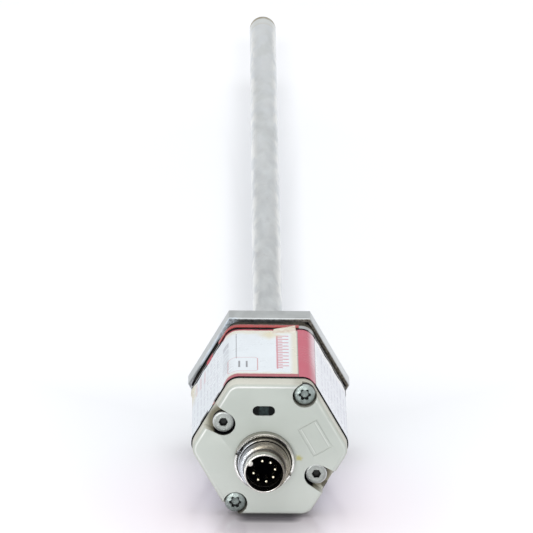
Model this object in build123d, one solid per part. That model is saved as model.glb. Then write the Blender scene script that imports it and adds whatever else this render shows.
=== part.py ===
"""Rod-style magnetostrictive position sensor: hexagonal head, threaded flange and pressure rod.

The rod runs along +Y and the connector lid faces -Y. The origin is the centre of the flange's
seating face, on the axis of the rod. Hexagon flats lie at the top and bottom. All sizes are mm.
"""
import math
import os

from build123d import *

# Flange, threaded neck and rod
FLANGE_AF = 46.0
FLANGE_T = 8.3
FLANGE_EDGE = 0.4
NECK_D = 18.0
NECK_L = 25.0
NECK_CHAMFER = 1.0
UNDERCUT_D = 16.2
UNDERCUT_L = 3.2
SEAL_D = 2.2
ROD_D = 10.0
ROD_WALL = 1.25
ROD_SHOULDER = 2.0
ROD_SPIGOT_D = 9.4
NULL_ZONE = 51.0
STROKE = 300.0
DEAD_ZONE = 63.5
PLUG_L = 12.5
PLUG_SPIGOT_L = 6.0
PLUG_ROUND = 2.4

# Head, stacked from the flange's rear face towards the lid
FLANGE_GASKET_AF = 43.6
FLANGE_GASKET_T = 5.4
FLANGE_GASKET_BORE_D = 24.0
BASE_PLATE_AF = 44.8
BASE_PLATE_T = 3.0
REAR_GASKET_T = 0.8
HOUSING_AF = 44.0
HOUSING_L = 47.6
HOUSING_WALL = 2.95
HEAD_ROUND = 4.7
FRONT_GASKET_T = 0.6
LID_AF = 44.2
LID_T = 6.3
LID_WALL = 3.0
LID_EDGE = 1.5
GASKET_PROUD = 0.5
GASKET_W = 3.2
GASKET_COLLAR = 1.2
LABEL_T = 0.18
LABEL_GLUE = 0.02
LABEL_INSET = 0.3
LABEL_SEAM = 1.0
FILM_LEFT = -16.5
FILM_RIGHT = 9.5
FILM_BOTTOM = 11.1
FILM_INSET = 0.15

# Fasteners
LONG_SCREW_R = 17.3
LONG_SCREW_ANGLE = 150.0
LONG_SCREW_D = 4.0
LONG_SCREW_BITE = 6.1
LONG_HEAD_D = 6.8
LONG_HEAD_H = 2.8
LONG_HEAD_DEPTH = 2.0
HEX_KEY = 2.5
HEX_KEY_DEPTH = 1.5
CORNER_SCREW_R = 21.3
CORNER_SCREW_ANGLE = 59.2
LID_SCREW_D = 4.0
LID_SCREW_L = 12.0
LID_HEAD_D = 6.8
LID_HEAD_H = 2.4
LID_HEAD_DEPTH = 1.3
LOBE_KEY_D = 3.9
LOBE_KEY_DEPTH = 1.3
LOBE_COUNT = 6
LOBE_D = 0.87
LOBE_ROOT_D = 2.8
PLATE_SCREW_D = 3.0
PLATE_SCREW_L = 9.0
PLATE_HEAD_D = 5.5
PLATE_HEAD_H = 1.6
PLATE_KEY = 2.0
PLATE_KEY_DEPTH = 0.8
HEAD_ROOM = 0.5
HOLE_ROOM = 0.2
THREAD_ROOM = 0.05
TAP_ROOM = 0.9
HEAD_CHAMFER = 0.35
LONG_PAD_R = 5.45
CORNER_PAD_R = 3.85
LONG_BOSS_R = 5.8
CORNER_BOSS_R = 5.0
POCKET_FLARE = 4.0

# Connector on the lid
CONNECTOR_X = -1.8
CONNECTOR_Z = -3.3
COLLAR_D = 17.0
COLLAR_L = 4.4
COLLAR_EDGE = 0.3
THREAD_D = 16.0
THREAD_L = 3.2
RELIEF_D = 14.6
RELIEF_L = 0.8
SLEEVE_D = 13.0
SLEEVE_L = 4.8
SLEEVE_EDGE = 0.15
SOCKET_D = 11.9
SOCKET_DEPTH = 8.2
SHELL_FLANGE_D = 20.0
SHELL_FLANGE_T = 2.0
RING_NUT_D = 19.3
RING_NUT_T = 2.9
RING_NUT_EDGE = 0.3
RING_NUT_SLOT = 1.0
RING_NUT_SLOT_DEPTH = 1.45
RING_NUT_SLOT_ANGLE = 157.0
SHELL_SEAL_D = 1.0
SHELL_SEAL_R = 9.15
KEY_ANGLE = 146.0
KEY_D = 1.9
KEY_R = 5.5
KEY_SETBACK = 0.7
PIN_D = 1.0
PIN_CIRCLE_D = 7.0
PIN_COUNT = 7
PIN_SETBACK = 2.1
PIN_ROUND = 0.4
PIN_TAIL = 0.4
CONNECTOR_BOARD_D = 17.0
CONNECTOR_BOARD_T = 1.6
INSERT_REAR = 1.1

# Status window and embossed panel of the lid
WINDOW_X = -2.1
WINDOW_Z = 13.2
WINDOW_W = 7.0
WINDOW_H = 3.1
WINDOW_SETBACK = 0.35
WINDOW_ROOM = 0.1
WINDOW_FLANGE = 1.0
WINDOW_FLANGE_T = 1.2
PANEL_X = 14.4
PANEL_Z = 4.2
PANEL_L = 10.6
PANEL_W = 7.1
PANEL_TURN = -60.0
PANEL_LINE = 0.4
PANEL_DEPTH = 0.2

# Circuit boards
BOARD_T = 1.6
BOARD_Z = 9.0
BOARD_INNER_X = 11.4
BOARD_OUTER_X = 17.2
BOARD_REAR_GAP = 1.7
BOARD_FRONT_GAP = 4.1
GUIDE_ROOM = 0.1
HEADER_W = 14.0
HEADER_T = 2.5
HEADER_FROM_TRAY = 0.8
FLEX_T = 0.4
FLEX_W = 9.0
FLEX_BEND = 1.5
FLEX_Z = 1.2
FLEX_REACH = 4.5
LAMP_D = 2.4
LAMP_PITCH = 3.6
LAMP_L = 1.1
LAMP_BLOCK_W = 7.2
LAMP_BLOCK_L = 3.4
LAMP_BLOCK_TOP = 1.8
CHIP_H = 1.4
PROCESSOR_X = 9.5
PROCESSOR_W = 9.0
DRIVER_X = -6.0
DRIVER_W = 5.0
DRIVER_L = 6.2
COUNTER_X = 8.0
COUNTER_W = 7.0
AMPLIFIER_X = -5.0
AMPLIFIER_W = 4.0
AMPLIFIER_L = 5.0
MEMORY_X = 5.0
MEMORY_W = 5.0
MEMORY_L = 8.0
CAPACITOR_D = 6.3
CAPACITOR_H = 7.0
CAPACITOR_X = 5.5
CHOKE_H = 4.0
INPUT_CHOKE_X = -4.0
INPUT_CHOKE_W = 8.0
OUTPUT_CHOKE_X = 0.0
OUTPUT_CHOKE_W = 7.0
PART_ROWS = 3

# Sensing element
ELEMENT_NUT_D = 14.0
ELEMENT_NUT_T = 4.0
GUIDE_TUBE_D = 5.0
GUIDE_TUBE_WALL = 0.6
GUIDE_TUBE_END_GAP = 1.5
WAVEGUIDE_D = 0.8
RETURN_D = 0.6
RETURN_Z = -1.4
RETURN_BITE = 1.0
TERMINAL_L = 2.0
TERMINAL_W = 1.2
TERMINAL_COVER = 0.2
LINK_T = 2.0
LINK_SETBACK = 2.0
END_DAMPER_L = 50.0
END_DAMPER_D = 1.9
SPACER_T = 4.0
SPACER_COUNT = 5
FIT = 0.03
CARRIER_PLATE_W = 16.4
CARRIER_PLATE_H = 16.0
CARRIER_PLATE_T = 2.0
TRAY_W = 14.0
TRAY_L = 29.0
TRAY_TOP = 4.0
TRAY_BOTTOM = -5.0
TRAY_WALL = 1.4
TRAY_REAR_WALL = 2.0
TRAY_FLOOR = -3.8
CARRIER_SCREW_X = 5.5
CARRIER_SCREW_Z = 6.2
CARRIER_SCREW_D = 2.5
CARRIER_HEAD_D = 3.5
CARRIER_HEAD_H = 1.4
CARRIER_SCREW_L = 4.6
CLAMP_W = 4.0
CLAMP_L = 3.0
CLAMP_H = 5.0
NEAR_DAMPER_W = 5.0
NEAR_DAMPER_L = 9.0
NEAR_DAMPER_H = 5.8
NEAR_DAMPER_GAP = 2.0
PICKUP_FROM_CLAMP = 4.5
COIL_L = 4.0
COIL_W = 2.4
COIL_H = 3.2
COIL_PITCH = 6.4
TAPE_W = 9.6
TAPE_L = 1.5
TAPE_T = 0.2
MAGNET_L = 3.0
MAGNET_W = 8.8
MAGNET_H = 1.8

# Stations along Y, worked out from the stack
GASKET_Y = -FLANGE_T
PLATE_Y = GASKET_Y - FLANGE_GASKET_T
REAR_GAP_Y = PLATE_Y - BASE_PLATE_T
HOUSING_Y = REAR_GAP_Y - REAR_GASKET_T
FRONT_GAP_Y = HOUSING_Y - HOUSING_L
LID_Y = FRONT_GAP_Y - FRONT_GASKET_T
FACE_Y = LID_Y - LID_T
LID_INNER_Y = FACE_Y + LID_WALL
ROD_END = NULL_ZONE + STROKE + DEAD_ZONE
SEAM_Y = ROD_END - PLUG_L
LONG_HEAD_Y = FACE_Y + LONG_HEAD_DEPTH
LONG_SEAT_Y = LONG_HEAD_Y + LONG_HEAD_H
LONG_TIP_Y = GASKET_Y + LONG_SCREW_BITE
LID_HEAD_Y = FACE_Y + LID_HEAD_DEPTH
LID_SEAT_Y = LID_HEAD_Y + LID_HEAD_H
LID_TIP_Y = LID_SEAT_Y + LID_SCREW_L
PLATE_SEAT_Y = PLATE_Y - PLATE_HEAD_H
PLATE_TIP_Y = PLATE_SEAT_Y - PLATE_SCREW_L
SHELL_REAR_Y = LID_INNER_Y + SHELL_FLANGE_T
COLLAR_Y = FACE_Y - COLLAR_L
RELIEF_Y = COLLAR_Y - RELIEF_L
THREAD_Y = RELIEF_Y - THREAD_L
RIM_Y = THREAD_Y - SLEEVE_L
SOCKET_Y = RIM_Y + SOCKET_DEPTH
INSERT_Y = LID_Y + INSERT_REAR
BOARD_REAR_Y = HOUSING_Y - BOARD_REAR_GAP
BOARD_FRONT_Y = FRONT_GAP_Y + BOARD_FRONT_GAP
LAMP_FRONT_Y = BOARD_FRONT_Y - LAMP_L
TRAY_Y = REAR_GAP_Y - CARRIER_PLATE_T
TRAY_FRONT_Y = TRAY_Y - TRAY_L
TRAY_INNER_FRONT_Y = TRAY_FRONT_Y + TRAY_WALL
TRAY_INNER_REAR_Y = TRAY_Y - TRAY_REAR_WALL
CLAMP_REAR_Y = TRAY_INNER_FRONT_Y + CLAMP_L
PICKUP_Y = CLAMP_REAR_Y + PICKUP_FROM_CLAMP
GUIDE_TUBE_END = SEAM_Y - PLUG_SPIGOT_L - GUIDE_TUBE_END_GAP
LINK_Y = GUIDE_TUBE_END - LINK_SETBACK - LINK_T

# Radii, widths and heights that several pieces share
ROD_R = ROD_D / 2
ROD_BORE_R = ROD_R - ROD_WALL
HOUSING_BORE_AF = HOUSING_AF - 2 * HOUSING_WALL
LONG_HOLE_R = LONG_SCREW_D / 2 + HOLE_ROOM
PIN_R = PIN_D / 2
SOCKET_R = SOCKET_D / 2
GUIDE_TUBE_R = GUIDE_TUBE_D / 2
GUIDE_BORE_R = GUIDE_TUBE_R - GUIDE_TUBE_WALL
WAVE_R = WAVEGUIDE_D / 2
RETURN_R = RETURN_D / 2
UPPER_TOP = BOARD_Z + BOARD_T / 2
UPPER_UNDER = BOARD_Z - BOARD_T / 2


def prism(outline, y_low, y_high):
    """A flat outline in X and Z, carried from y_low to y_high."""
    return extrude(Plane.XZ.offset(-y_high) * outline, amount=y_high - y_low)


def bar(radius, y_low, y_high, x=0.0, z=0.0):
    """A round bar along Y."""
    return prism(Pos(x, z) * Circle(radius), y_low, y_high)


def ring(outer, inner, y_low, y_high, x=0.0, z=0.0):
    """A round tube along Y."""
    return prism(Pos(x, z) * (Circle(outer) - Circle(inner)), y_low, y_high)


def block(x_low, x_high, y_low, y_high, z_low, z_high):
    """A rectangular block between two corners."""
    middle = ((x_low + x_high) / 2, (z_low + z_high) / 2)
    return prism(Pos(*middle) * Rectangle(x_high - x_low, z_high - z_low), y_low, y_high)


def hexagon(across_flats, corner_round):
    """A hexagon with flats at the top and bottom and rounded corners."""
    outline = RegularPolygon(across_flats / 2, 6, major_radius=False)
    if corner_round > 0:
        outline = fillet(outline.vertices(), corner_round)
    return outline


def polar(radius, angle):
    """X and Z of a point at an angle, seen from the lid's side."""
    return radius * math.cos(math.radians(angle)), radius * math.sin(math.radians(angle))


def opposite(radius, angle):
    """Two places at an angle and half a turn from it."""
    return [polar(radius, angle), polar(radius, angle + 180)]


def edges_at(shape, y, tolerance=0.001):
    """Edges that lie in the plane at y."""
    return [e for e in shape.edges() if abs(e.bounding_box().min.Y - y) < tolerance
            and abs(e.bounding_box().max.Y - y) < tolerance]


LONG_SCREWS = opposite(LONG_SCREW_R, LONG_SCREW_ANGLE)
CORNER_SCREWS = opposite(CORNER_SCREW_R, CORNER_SCREW_ANGLE)


def mounting_flange():
    """Hexagonal flange and threaded neck, turned from one bar, bored for the rod."""
    body = prism(hexagon(FLANGE_AF, 0), -FLANGE_T, 0)
    body = chamfer(edges_at(body, -FLANGE_T), FLANGE_EDGE)
    neck = bar(NECK_D / 2, UNDERCUT_L, NECK_L)
    neck = chamfer(edges_at(neck, NECK_L), NECK_CHAMFER)
    body += neck + bar(UNDERCUT_D / 2, 0, UNDERCUT_L)
    body -= bar(ROD_SPIGOT_D / 2 + FIT, ROD_SHOULDER, NECK_L)
    body -= bar(ROD_BORE_R, -FLANGE_T, ROD_SHOULDER)
    body -= bar(ELEMENT_NUT_D / 2 + FIT, -FLANGE_T, -FLANGE_T + ELEMENT_NUT_T)
    for x, z in LONG_SCREWS:
        body -= bar(LONG_SCREW_D / 2 + THREAD_ROOM, -FLANGE_T, LONG_TIP_Y + TAP_ROOM, x, z)
    return body


def rod_tube():
    """Pressure tube, shouldered on the neck's end, its spigot led into the neck's bore."""
    spigot = ring(ROD_SPIGOT_D / 2, ROD_BORE_R, ROD_SHOULDER, NECK_L)
    return ring(ROD_R, ROD_BORE_R, NECK_L, SEAM_Y) + spigot


def rod_end_plug():
    """Rounded plug that closes the tube, with a spigot; its weld is ground flush."""
    plug = bar(ROD_R, SEAM_Y, ROD_END)
    plug = fillet(edges_at(plug, ROD_END), PLUG_ROUND)
    return plug + bar(ROD_BORE_R - FIT, SEAM_Y - PLUG_SPIGOT_L, SEAM_Y)


def neck_seal():
    """O-ring that lies in the undercut, against the seating face."""
    radius = UNDERCUT_D / 2 + SEAL_D / 2 + FIT
    return Pos(0, SEAL_D / 2, 0) * Rot(90, 0, 0) * Torus(radius, SEAL_D / 2)


def flange_gasket():
    """Thick black seal between the flange and the base plate, set back from the flats."""
    body = prism(hexagon(FLANGE_GASKET_AF, HEAD_ROUND), PLATE_Y, GASKET_Y)
    body -= bar(FLANGE_GASKET_BORE_D / 2, PLATE_Y, GASKET_Y)
    for x, z in LONG_SCREWS:
        body -= bar(LONG_HOLE_R, PLATE_Y, GASKET_Y, x, z)
    return body


def screw_circles(long_radius, corner_radius):
    """Circles round the long screws and the corner screws."""
    outline = Sketch()
    for x, z in LONG_SCREWS:
        outline += Pos(x, z) * Circle(long_radius)
    for x, z in CORNER_SCREWS:
        outline += Pos(x, z) * Circle(corner_radius)
    return outline


def spacer_pads(y_low, y_high):
    """Low pads round the screws that bridge a gasket gap, cut off at the flats."""
    outline = screw_circles(LONG_PAD_R, CORNER_PAD_R) & hexagon(HOUSING_AF, HEAD_ROUND)
    return prism(outline, y_low, y_high)


def base_plate():
    """Plate that closes the housing at the flange's side and carries the sensing element."""
    body = prism(hexagon(BASE_PLATE_AF, HEAD_ROUND), REAR_GAP_Y, PLATE_Y)
    body += spacer_pads(HOUSING_Y, REAR_GAP_Y)
    body -= bar(GUIDE_TUBE_D / 2 + HOLE_ROOM, REAR_GAP_Y, PLATE_Y)
    for x, z in LONG_SCREWS:
        body -= bar(LONG_HOLE_R, HOUSING_Y, PLATE_Y, x, z)
    for x, z in CORNER_SCREWS:
        body -= bar(PLATE_SCREW_D / 2 + HOLE_ROOM, HOUSING_Y, PLATE_Y, x, z)
        body -= bar(PLATE_HEAD_D / 2 + HOLE_ROOM, PLATE_SEAT_Y, PLATE_Y, x, z)
    tip = REAR_GAP_Y - CARRIER_PLATE_T + CARRIER_SCREW_L
    for side in (-1, 1):
        x = side * CARRIER_SCREW_X
        body -= bar(CARRIER_SCREW_D / 2 + THREAD_ROOM, REAR_GAP_Y, tip, x, CARRIER_SCREW_Z)
    return body


def foil(across_flats, y_low, y_high):
    """Thin foil that wraps a hexagon of the head."""
    inner = across_flats + 2 * LABEL_GLUE
    outer = inner + 2 * LABEL_T
    return prism(hexagon(outer, HEAD_ROUND + LABEL_T) - hexagon(inner, HEAD_ROUND), y_low, y_high)


def base_plate_film():
    """Coloured film on the base plate's edge, along the top and round one corner."""
    y_low = REAR_GAP_Y + FILM_INSET
    y_high = PLATE_Y - FILM_INSET
    upper = block(FILM_LEFT, FILM_RIGHT, y_low, y_high, FILM_BOTTOM, BASE_PLATE_AF)
    return foil(BASE_PLATE_AF, y_low, y_high) & upper


def label_wrap():
    """Printed foil wrapped round the housing, its ends meeting at a seam underneath."""
    y_low = FRONT_GAP_Y + LABEL_INSET
    y_high = HOUSING_Y - LABEL_INSET
    seam = block(-LABEL_SEAM / 2, LABEL_SEAM / 2, y_low, y_high, -HOUSING_AF, 0)
    return foil(HOUSING_AF, y_low, y_high) - seam


def gap_gasket(y_low, y_high):
    """Flat gasket in the gap at one end of the housing, a little proud, led round inside the pads."""
    outer = hexagon(HOUSING_AF + 2 * GASKET_PROUD, HEAD_ROUND + GASKET_PROUD)
    inner = hexagon(HOUSING_AF - 2 * GASKET_W, HEAD_ROUND - GASKET_W)
    outline = outer - inner
    outline += screw_circles(LONG_PAD_R + GASKET_COLLAR, CORNER_PAD_R + GASKET_COLLAR) & outer
    outline -= screw_circles(LONG_PAD_R + FIT, CORNER_PAD_R + FIT)
    return prism(outline, y_low, y_high)


def board_edges(side):
    """X of the two long edges of a board; side is 1 for the upper and -1 for the lower."""
    return sorted((-side * BOARD_INNER_X, side * BOARD_OUTER_X))


def housing():
    """Extruded hexagonal housing with screw channels and guides for the two boards."""
    outline = hexagon(HOUSING_AF, HEAD_ROUND) - hexagon(HOUSING_BORE_AF, HEAD_ROUND - HOUSING_WALL)
    outline += screw_circles(LONG_BOSS_R, CORNER_BOSS_R) & hexagon(HOUSING_AF, HEAD_ROUND)
    body = prism(outline, FRONT_GAP_Y, HOUSING_Y)
    for x, z in LONG_SCREWS:
        body -= bar(LONG_HOLE_R, FRONT_GAP_Y, HOUSING_Y, x, z)
    for x, z in CORNER_SCREWS:
        body -= bar(LID_SCREW_D / 2 + THREAD_ROOM, FRONT_GAP_Y, LID_TIP_Y + TAP_ROOM, x, z)
        body -= bar(PLATE_SCREW_D / 2 + THREAD_ROOM, PLATE_TIP_Y - TAP_ROOM, HOUSING_Y, x, z)
    for side in (-1, 1):
        left, right = board_edges(side)
        low = side * BOARD_Z - BOARD_T / 2
        body -= block(left - GUIDE_ROOM, right + GUIDE_ROOM, FRONT_GAP_Y, HOUSING_Y,
                      low - GUIDE_ROOM / 2, low + BOARD_T + GUIDE_ROOM / 2)
    return body


def flared_pocket(x, z, angle, radius, y_low, y_high):
    """Screw pocket that opens through the flat beside it, its mouth a little wider."""
    reach = LID_AF / 2
    near = radius
    far = radius + reach * math.tan(math.radians(POCKET_FLARE))
    mouth = Polygon((0, -near), (reach, -far), (reach, far), (0, near), align=None)
    outline = Pos(x, z) * (Circle(radius) + Rot(0, 0, angle) * mouth)
    return prism(outline, y_low, y_high)


def panel_line():
    """Narrow rectangular groove that frames the bare panel on the lid."""
    outer = Rectangle(PANEL_L, PANEL_W)
    inner = Rectangle(PANEL_L - 2 * PANEL_LINE, PANEL_W - 2 * PANEL_LINE)
    outline = Pos(PANEL_X, PANEL_Z) * Rot(0, 0, PANEL_TURN) * (outer - inner)
    return prism(outline, FACE_Y, FACE_Y + PANEL_DEPTH)


def window_outline(grow):
    """Outline of the status window, larger all round by grow."""
    height = WINDOW_H + 2 * grow
    return Pos(WINDOW_X, WINDOW_Z) * SlotOverall(WINDOW_W + 2 * grow, height)


def connector_lid():
    """Die-cast lid with a rounded front edge, screw pockets, connector hole and window slot."""
    body = prism(hexagon(LID_AF, HEAD_ROUND), FACE_Y, LID_Y)
    body = fillet(edges_at(body, FACE_Y), LID_EDGE)
    inside = hexagon(HOUSING_BORE_AF, HEAD_ROUND - HOUSING_WALL)
    inside -= screw_circles(LONG_PAD_R + GASKET_COLLAR, CORNER_PAD_R + GASKET_COLLAR)
    body -= prism(inside, LID_INNER_Y, LID_Y)
    body += spacer_pads(LID_Y, FRONT_GAP_Y)
    for turn, (x, z) in enumerate(LONG_SCREWS):
        angle = LONG_SCREW_ANGLE + 180 * turn
        body -= flared_pocket(x, z, angle, LONG_HEAD_D / 2 + HEAD_ROOM, FACE_Y, LONG_SEAT_Y)
        body -= bar(LONG_HOLE_R, FACE_Y, FRONT_GAP_Y, x, z)
    for x, z in CORNER_SCREWS:
        body -= bar(LID_HEAD_D / 2 + HEAD_ROOM, FACE_Y, LID_SEAT_Y, x, z)
        body -= bar(LID_SCREW_D / 2 + HOLE_ROOM, FACE_Y, FRONT_GAP_Y, x, z)
    body -= bar(COLLAR_D / 2 + THREAD_ROOM, FACE_Y, LID_Y, CONNECTOR_X, CONNECTOR_Z)
    body -= prism(window_outline(WINDOW_ROOM), FACE_Y, LID_Y)
    return body - panel_line()


def status_window():
    """Dark light guide that fills the slot and leads back to the lamps."""
    body = prism(window_outline(0), FACE_Y + WINDOW_SETBACK, LAMP_FRONT_Y - WINDOW_ROOM)
    return body + prism(window_outline(WINDOW_FLANGE), LID_INNER_Y, LID_INNER_Y + WINDOW_FLANGE_T)


def socket_screw(x, z):
    """One long cap screw with a hexagon socket."""
    head = bar(LONG_HEAD_D / 2, LONG_HEAD_Y, LONG_SEAT_Y, x, z)
    head = chamfer(edges_at(head, LONG_HEAD_Y), HEAD_CHAMFER)
    socket = Pos(x, z) * RegularPolygon(HEX_KEY / 2, 6, major_radius=False)
    head -= prism(socket, LONG_HEAD_Y, LONG_HEAD_Y + HEX_KEY_DEPTH)
    return head + bar(LONG_SCREW_D / 2, LONG_SEAT_Y, LONG_TIP_Y, x, z)


def lobe_screw(x, z):
    """One short pan-head screw with a six-lobe socket."""
    head = bar(LID_HEAD_D / 2, LID_HEAD_Y, LID_SEAT_Y, x, z)
    head = chamfer(edges_at(head, LID_HEAD_Y), HEAD_CHAMFER)
    socket = Circle(LOBE_ROOT_D / 2)
    for turn in range(LOBE_COUNT):
        lobe = Pos((LOBE_KEY_D - LOBE_D) / 2, 0) * Circle(LOBE_D / 2)
        socket += Rot(0, 0, 360 / LOBE_COUNT * turn) * lobe
    head -= prism(Pos(x, z) * socket, LID_HEAD_Y, LID_HEAD_Y + LOBE_KEY_DEPTH)
    return head + bar(LID_SCREW_D / 2, LID_SEAT_Y, LID_TIP_Y, x, z)


def plate_screw(x, z):
    """One screw that fastens the base plate to the housing, its head sunk flush."""
    head = bar(PLATE_HEAD_D / 2, PLATE_SEAT_Y, PLATE_Y, x, z)
    socket = Pos(x, z) * RegularPolygon(PLATE_KEY / 2, 6, major_radius=False)
    head -= prism(socket, PLATE_Y - PLATE_KEY_DEPTH, PLATE_Y)
    return head + bar(PLATE_SCREW_D / 2, PLATE_TIP_Y, PLATE_SEAT_Y, x, z)


def stepped(diameter, y_low, y_high, edge):
    """One step of the connector's shell, with its outer front edge broken."""
    step = bar(diameter / 2, y_low, y_high, CONNECTOR_X, CONNECTOR_Z)
    return chamfer(edges_at(step, y_low), edge)


def connector_shell():
    """Turned receptacle: inner flange, collar, relief, thread and plain sleeve, with its key."""
    body = bar(SHELL_FLANGE_D / 2, LID_INNER_Y, SHELL_REAR_Y, CONNECTOR_X, CONNECTOR_Z)
    body += stepped(COLLAR_D, COLLAR_Y, LID_INNER_Y, COLLAR_EDGE)
    body += bar(RELIEF_D / 2, RELIEF_Y, COLLAR_Y, CONNECTOR_X, CONNECTOR_Z)
    body += stepped(THREAD_D, THREAD_Y, RELIEF_Y, (THREAD_D - RELIEF_D) / 2)
    body += stepped(SLEEVE_D, RIM_Y, THREAD_Y, SLEEVE_EDGE)
    body -= bar(SOCKET_R, RIM_Y, SHELL_REAR_Y, CONNECTOR_X, CONNECTOR_Z)
    groove_r = SHELL_SEAL_R + SHELL_SEAL_D / 2
    body -= ring(groove_r + FIT, groove_r - SHELL_SEAL_D - FIT,
                 LID_INNER_Y, LID_INNER_Y + SHELL_SEAL_D, CONNECTOR_X, CONNECTOR_Z)
    x, z = polar(KEY_R, KEY_ANGLE)
    return body + bar(KEY_D / 2, RIM_Y + KEY_SETBACK, SOCKET_Y, CONNECTOR_X + x, CONNECTOR_Z + z)


def connector_seal():
    """Small O-ring in the groove of the shell's inner flange."""
    place = Pos(CONNECTOR_X, LID_INNER_Y + SHELL_SEAL_D / 2, CONNECTOR_Z)
    return place * Rot(90, 0, 0) * Torus(SHELL_SEAL_R, SHELL_SEAL_D / 2)


def connector_ring_nut():
    """Round nut on the collar, with a bevelled face and two spanner slots."""
    low = FACE_Y - RING_NUT_T
    inner = COLLAR_D / 2 + THREAD_ROOM
    body = bar(RING_NUT_D / 2, low, FACE_Y, CONNECTOR_X, CONNECTOR_Z)
    body = chamfer(edges_at(body, low), RING_NUT_EDGE)
    body -= bar(inner, low, FACE_Y, CONNECTOR_X, CONNECTOR_Z)
    bevel = [e for e in edges_at(body, low) if e.radius < inner + THREAD_ROOM]
    body = chamfer(bevel, RING_NUT_EDGE)
    slot = Pos(CONNECTOR_X, CONNECTOR_Z) * Rot(0, 0, RING_NUT_SLOT_ANGLE)
    slot *= Rectangle(2 * RING_NUT_D, RING_NUT_SLOT)
    return body - prism(slot, low, low + RING_NUT_SLOT_DEPTH)


def pin_places():
    """Places of the pins, evenly spaced from the key with the key's own place left free."""
    step = 360 / (PIN_COUNT + 1)
    places = [polar(PIN_CIRCLE_D / 2, KEY_ANGLE + step * turn) for turn in range(1, PIN_COUNT + 1)]
    return [(CONNECTOR_X + x, CONNECTOR_Z + z) for x, z in places]


def connector_insert():
    """Black insulating insert that holds the pins."""
    body = bar(SOCKET_R - FIT, SOCKET_Y, INSERT_Y, CONNECTOR_X, CONNECTOR_Z)
    for x, z in pin_places():
        body -= bar(PIN_R + FIT, SOCKET_Y, INSERT_Y, x, z)
    return body


def connector_board():
    """Round board soldered to the rear ends of the pins."""
    front = INSERT_Y
    rear = INSERT_Y + CONNECTOR_BOARD_T
    body = bar(CONNECTOR_BOARD_D / 2, front, rear, CONNECTOR_X, CONNECTOR_Z)
    for x, z in pin_places():
        body -= bar(PIN_R + FIT, front, rear, x, z)
    return body


def connector_pin(x, z):
    """One contact pin with a rounded tip."""
    rear = INSERT_Y + CONNECTOR_BOARD_T + PIN_TAIL
    pin = bar(PIN_R, RIM_Y + PIN_SETBACK, rear, x, z)
    return fillet(edges_at(pin, RIM_Y + PIN_SETBACK), PIN_ROUND)


def board(side):
    """One rectangular circuit board in its guides."""
    left, right = board_edges(side)
    middle = side * BOARD_Z
    return block(left, right, BOARD_FRONT_Y, BOARD_REAR_Y, middle - BOARD_T / 2, middle + BOARD_T / 2)


def row_y(row):
    """Middle of a row of parts; the rows are spread evenly behind the lamp block."""
    front = BOARD_FRONT_Y + LAMP_BLOCK_L
    return front + (BOARD_REAR_Y - front) * (row + 0.5) / PART_ROWS


def board_part(x, row, width, length, z_low, z_high):
    """A block in one of the rows of a board."""
    y = row_y(row)
    return block(x - width / 2, x + width / 2, y - length / 2, y + length / 2, z_low, z_high)


def signal_chips():
    """Integrated circuits on the upper board."""
    chips = [(PROCESSOR_X, 0, PROCESSOR_W, PROCESSOR_W), (DRIVER_X, 0, DRIVER_W, DRIVER_L),
             (COUNTER_X, 1, COUNTER_W, COUNTER_W), (AMPLIFIER_X, 1, AMPLIFIER_W, AMPLIFIER_L),
             (MEMORY_X, 2, MEMORY_W, MEMORY_L)]
    return [board_part(*chip, UPPER_TOP, UPPER_TOP + CHIP_H) for chip in chips]


def power_parts():
    """Two capacitors and two wound parts that hang under the lower board."""
    parts = []
    for row in (0, 1):
        middle = Pos(CAPACITOR_X, row_y(row), -UPPER_TOP - CAPACITOR_H / 2)
        parts.append(middle * Cylinder(CAPACITOR_D / 2, CAPACITOR_H))
    for x, row, width in ((INPUT_CHOKE_X, 0, INPUT_CHOKE_W), (OUTPUT_CHOKE_X, 2, OUTPUT_CHOKE_W)):
        parts.append(board_part(x, row, width, width, -UPPER_TOP - CHOKE_H, -UPPER_TOP))
    return parts


def board_header():
    """Pin header that joins the two boards, just in front of the tray."""
    y = TRAY_FRONT_Y - HEADER_FROM_TRAY
    return block(-HEADER_W / 2, HEADER_W / 2, y - HEADER_T, y, -UPPER_UNDER, UPPER_UNDER)


def connector_flex():
    """Flat flexible strip from the round board up to the underside of the upper board."""
    start = INSERT_Y + CONNECTOR_BOARD_T
    end = start + FLEX_REACH
    inner = (end - FLEX_T, FLEX_Z + FLEX_T)
    outline = Polygon((start, FLEX_Z), (end, FLEX_Z), (end, UPPER_UNDER), (inner[0], UPPER_UNDER),
                      inner, (start, inner[1]), align=None)
    outer_corner = outline.vertices().sort_by_distance((end, FLEX_Z, 0))[0]
    outline = fillet(outer_corner, FLEX_BEND)
    inner_corner = outline.vertices().sort_by_distance((*inner, 0))[0]
    outline = fillet(inner_corner, FLEX_BEND - FLEX_T)
    return extrude(Plane.YZ.offset(CONNECTOR_X - FLEX_W / 2) * outline, amount=FLEX_W)


def lamp_block():
    """Holder of the two status lamps, on the front edge of the upper board."""
    half = LAMP_BLOCK_W / 2
    return block(WINDOW_X - half, WINDOW_X + half, BOARD_FRONT_Y, BOARD_FRONT_Y + LAMP_BLOCK_L,
                 UPPER_TOP, WINDOW_Z + LAMP_BLOCK_TOP)


def status_lamps():
    """Two small lamps behind the window."""
    return [bar(LAMP_D / 2, LAMP_FRONT_Y, BOARD_FRONT_Y, WINDOW_X + side * LAMP_PITCH / 2, WINDOW_Z)
            for side in (-1, 1)]


def element_nut():
    """Plain ring nut that holds the sensing element's tube in the flange."""
    return ring(ELEMENT_NUT_D / 2, GUIDE_TUBE_R + FIT, -FLANGE_T, -FLANGE_T + ELEMENT_NUT_T)


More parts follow.
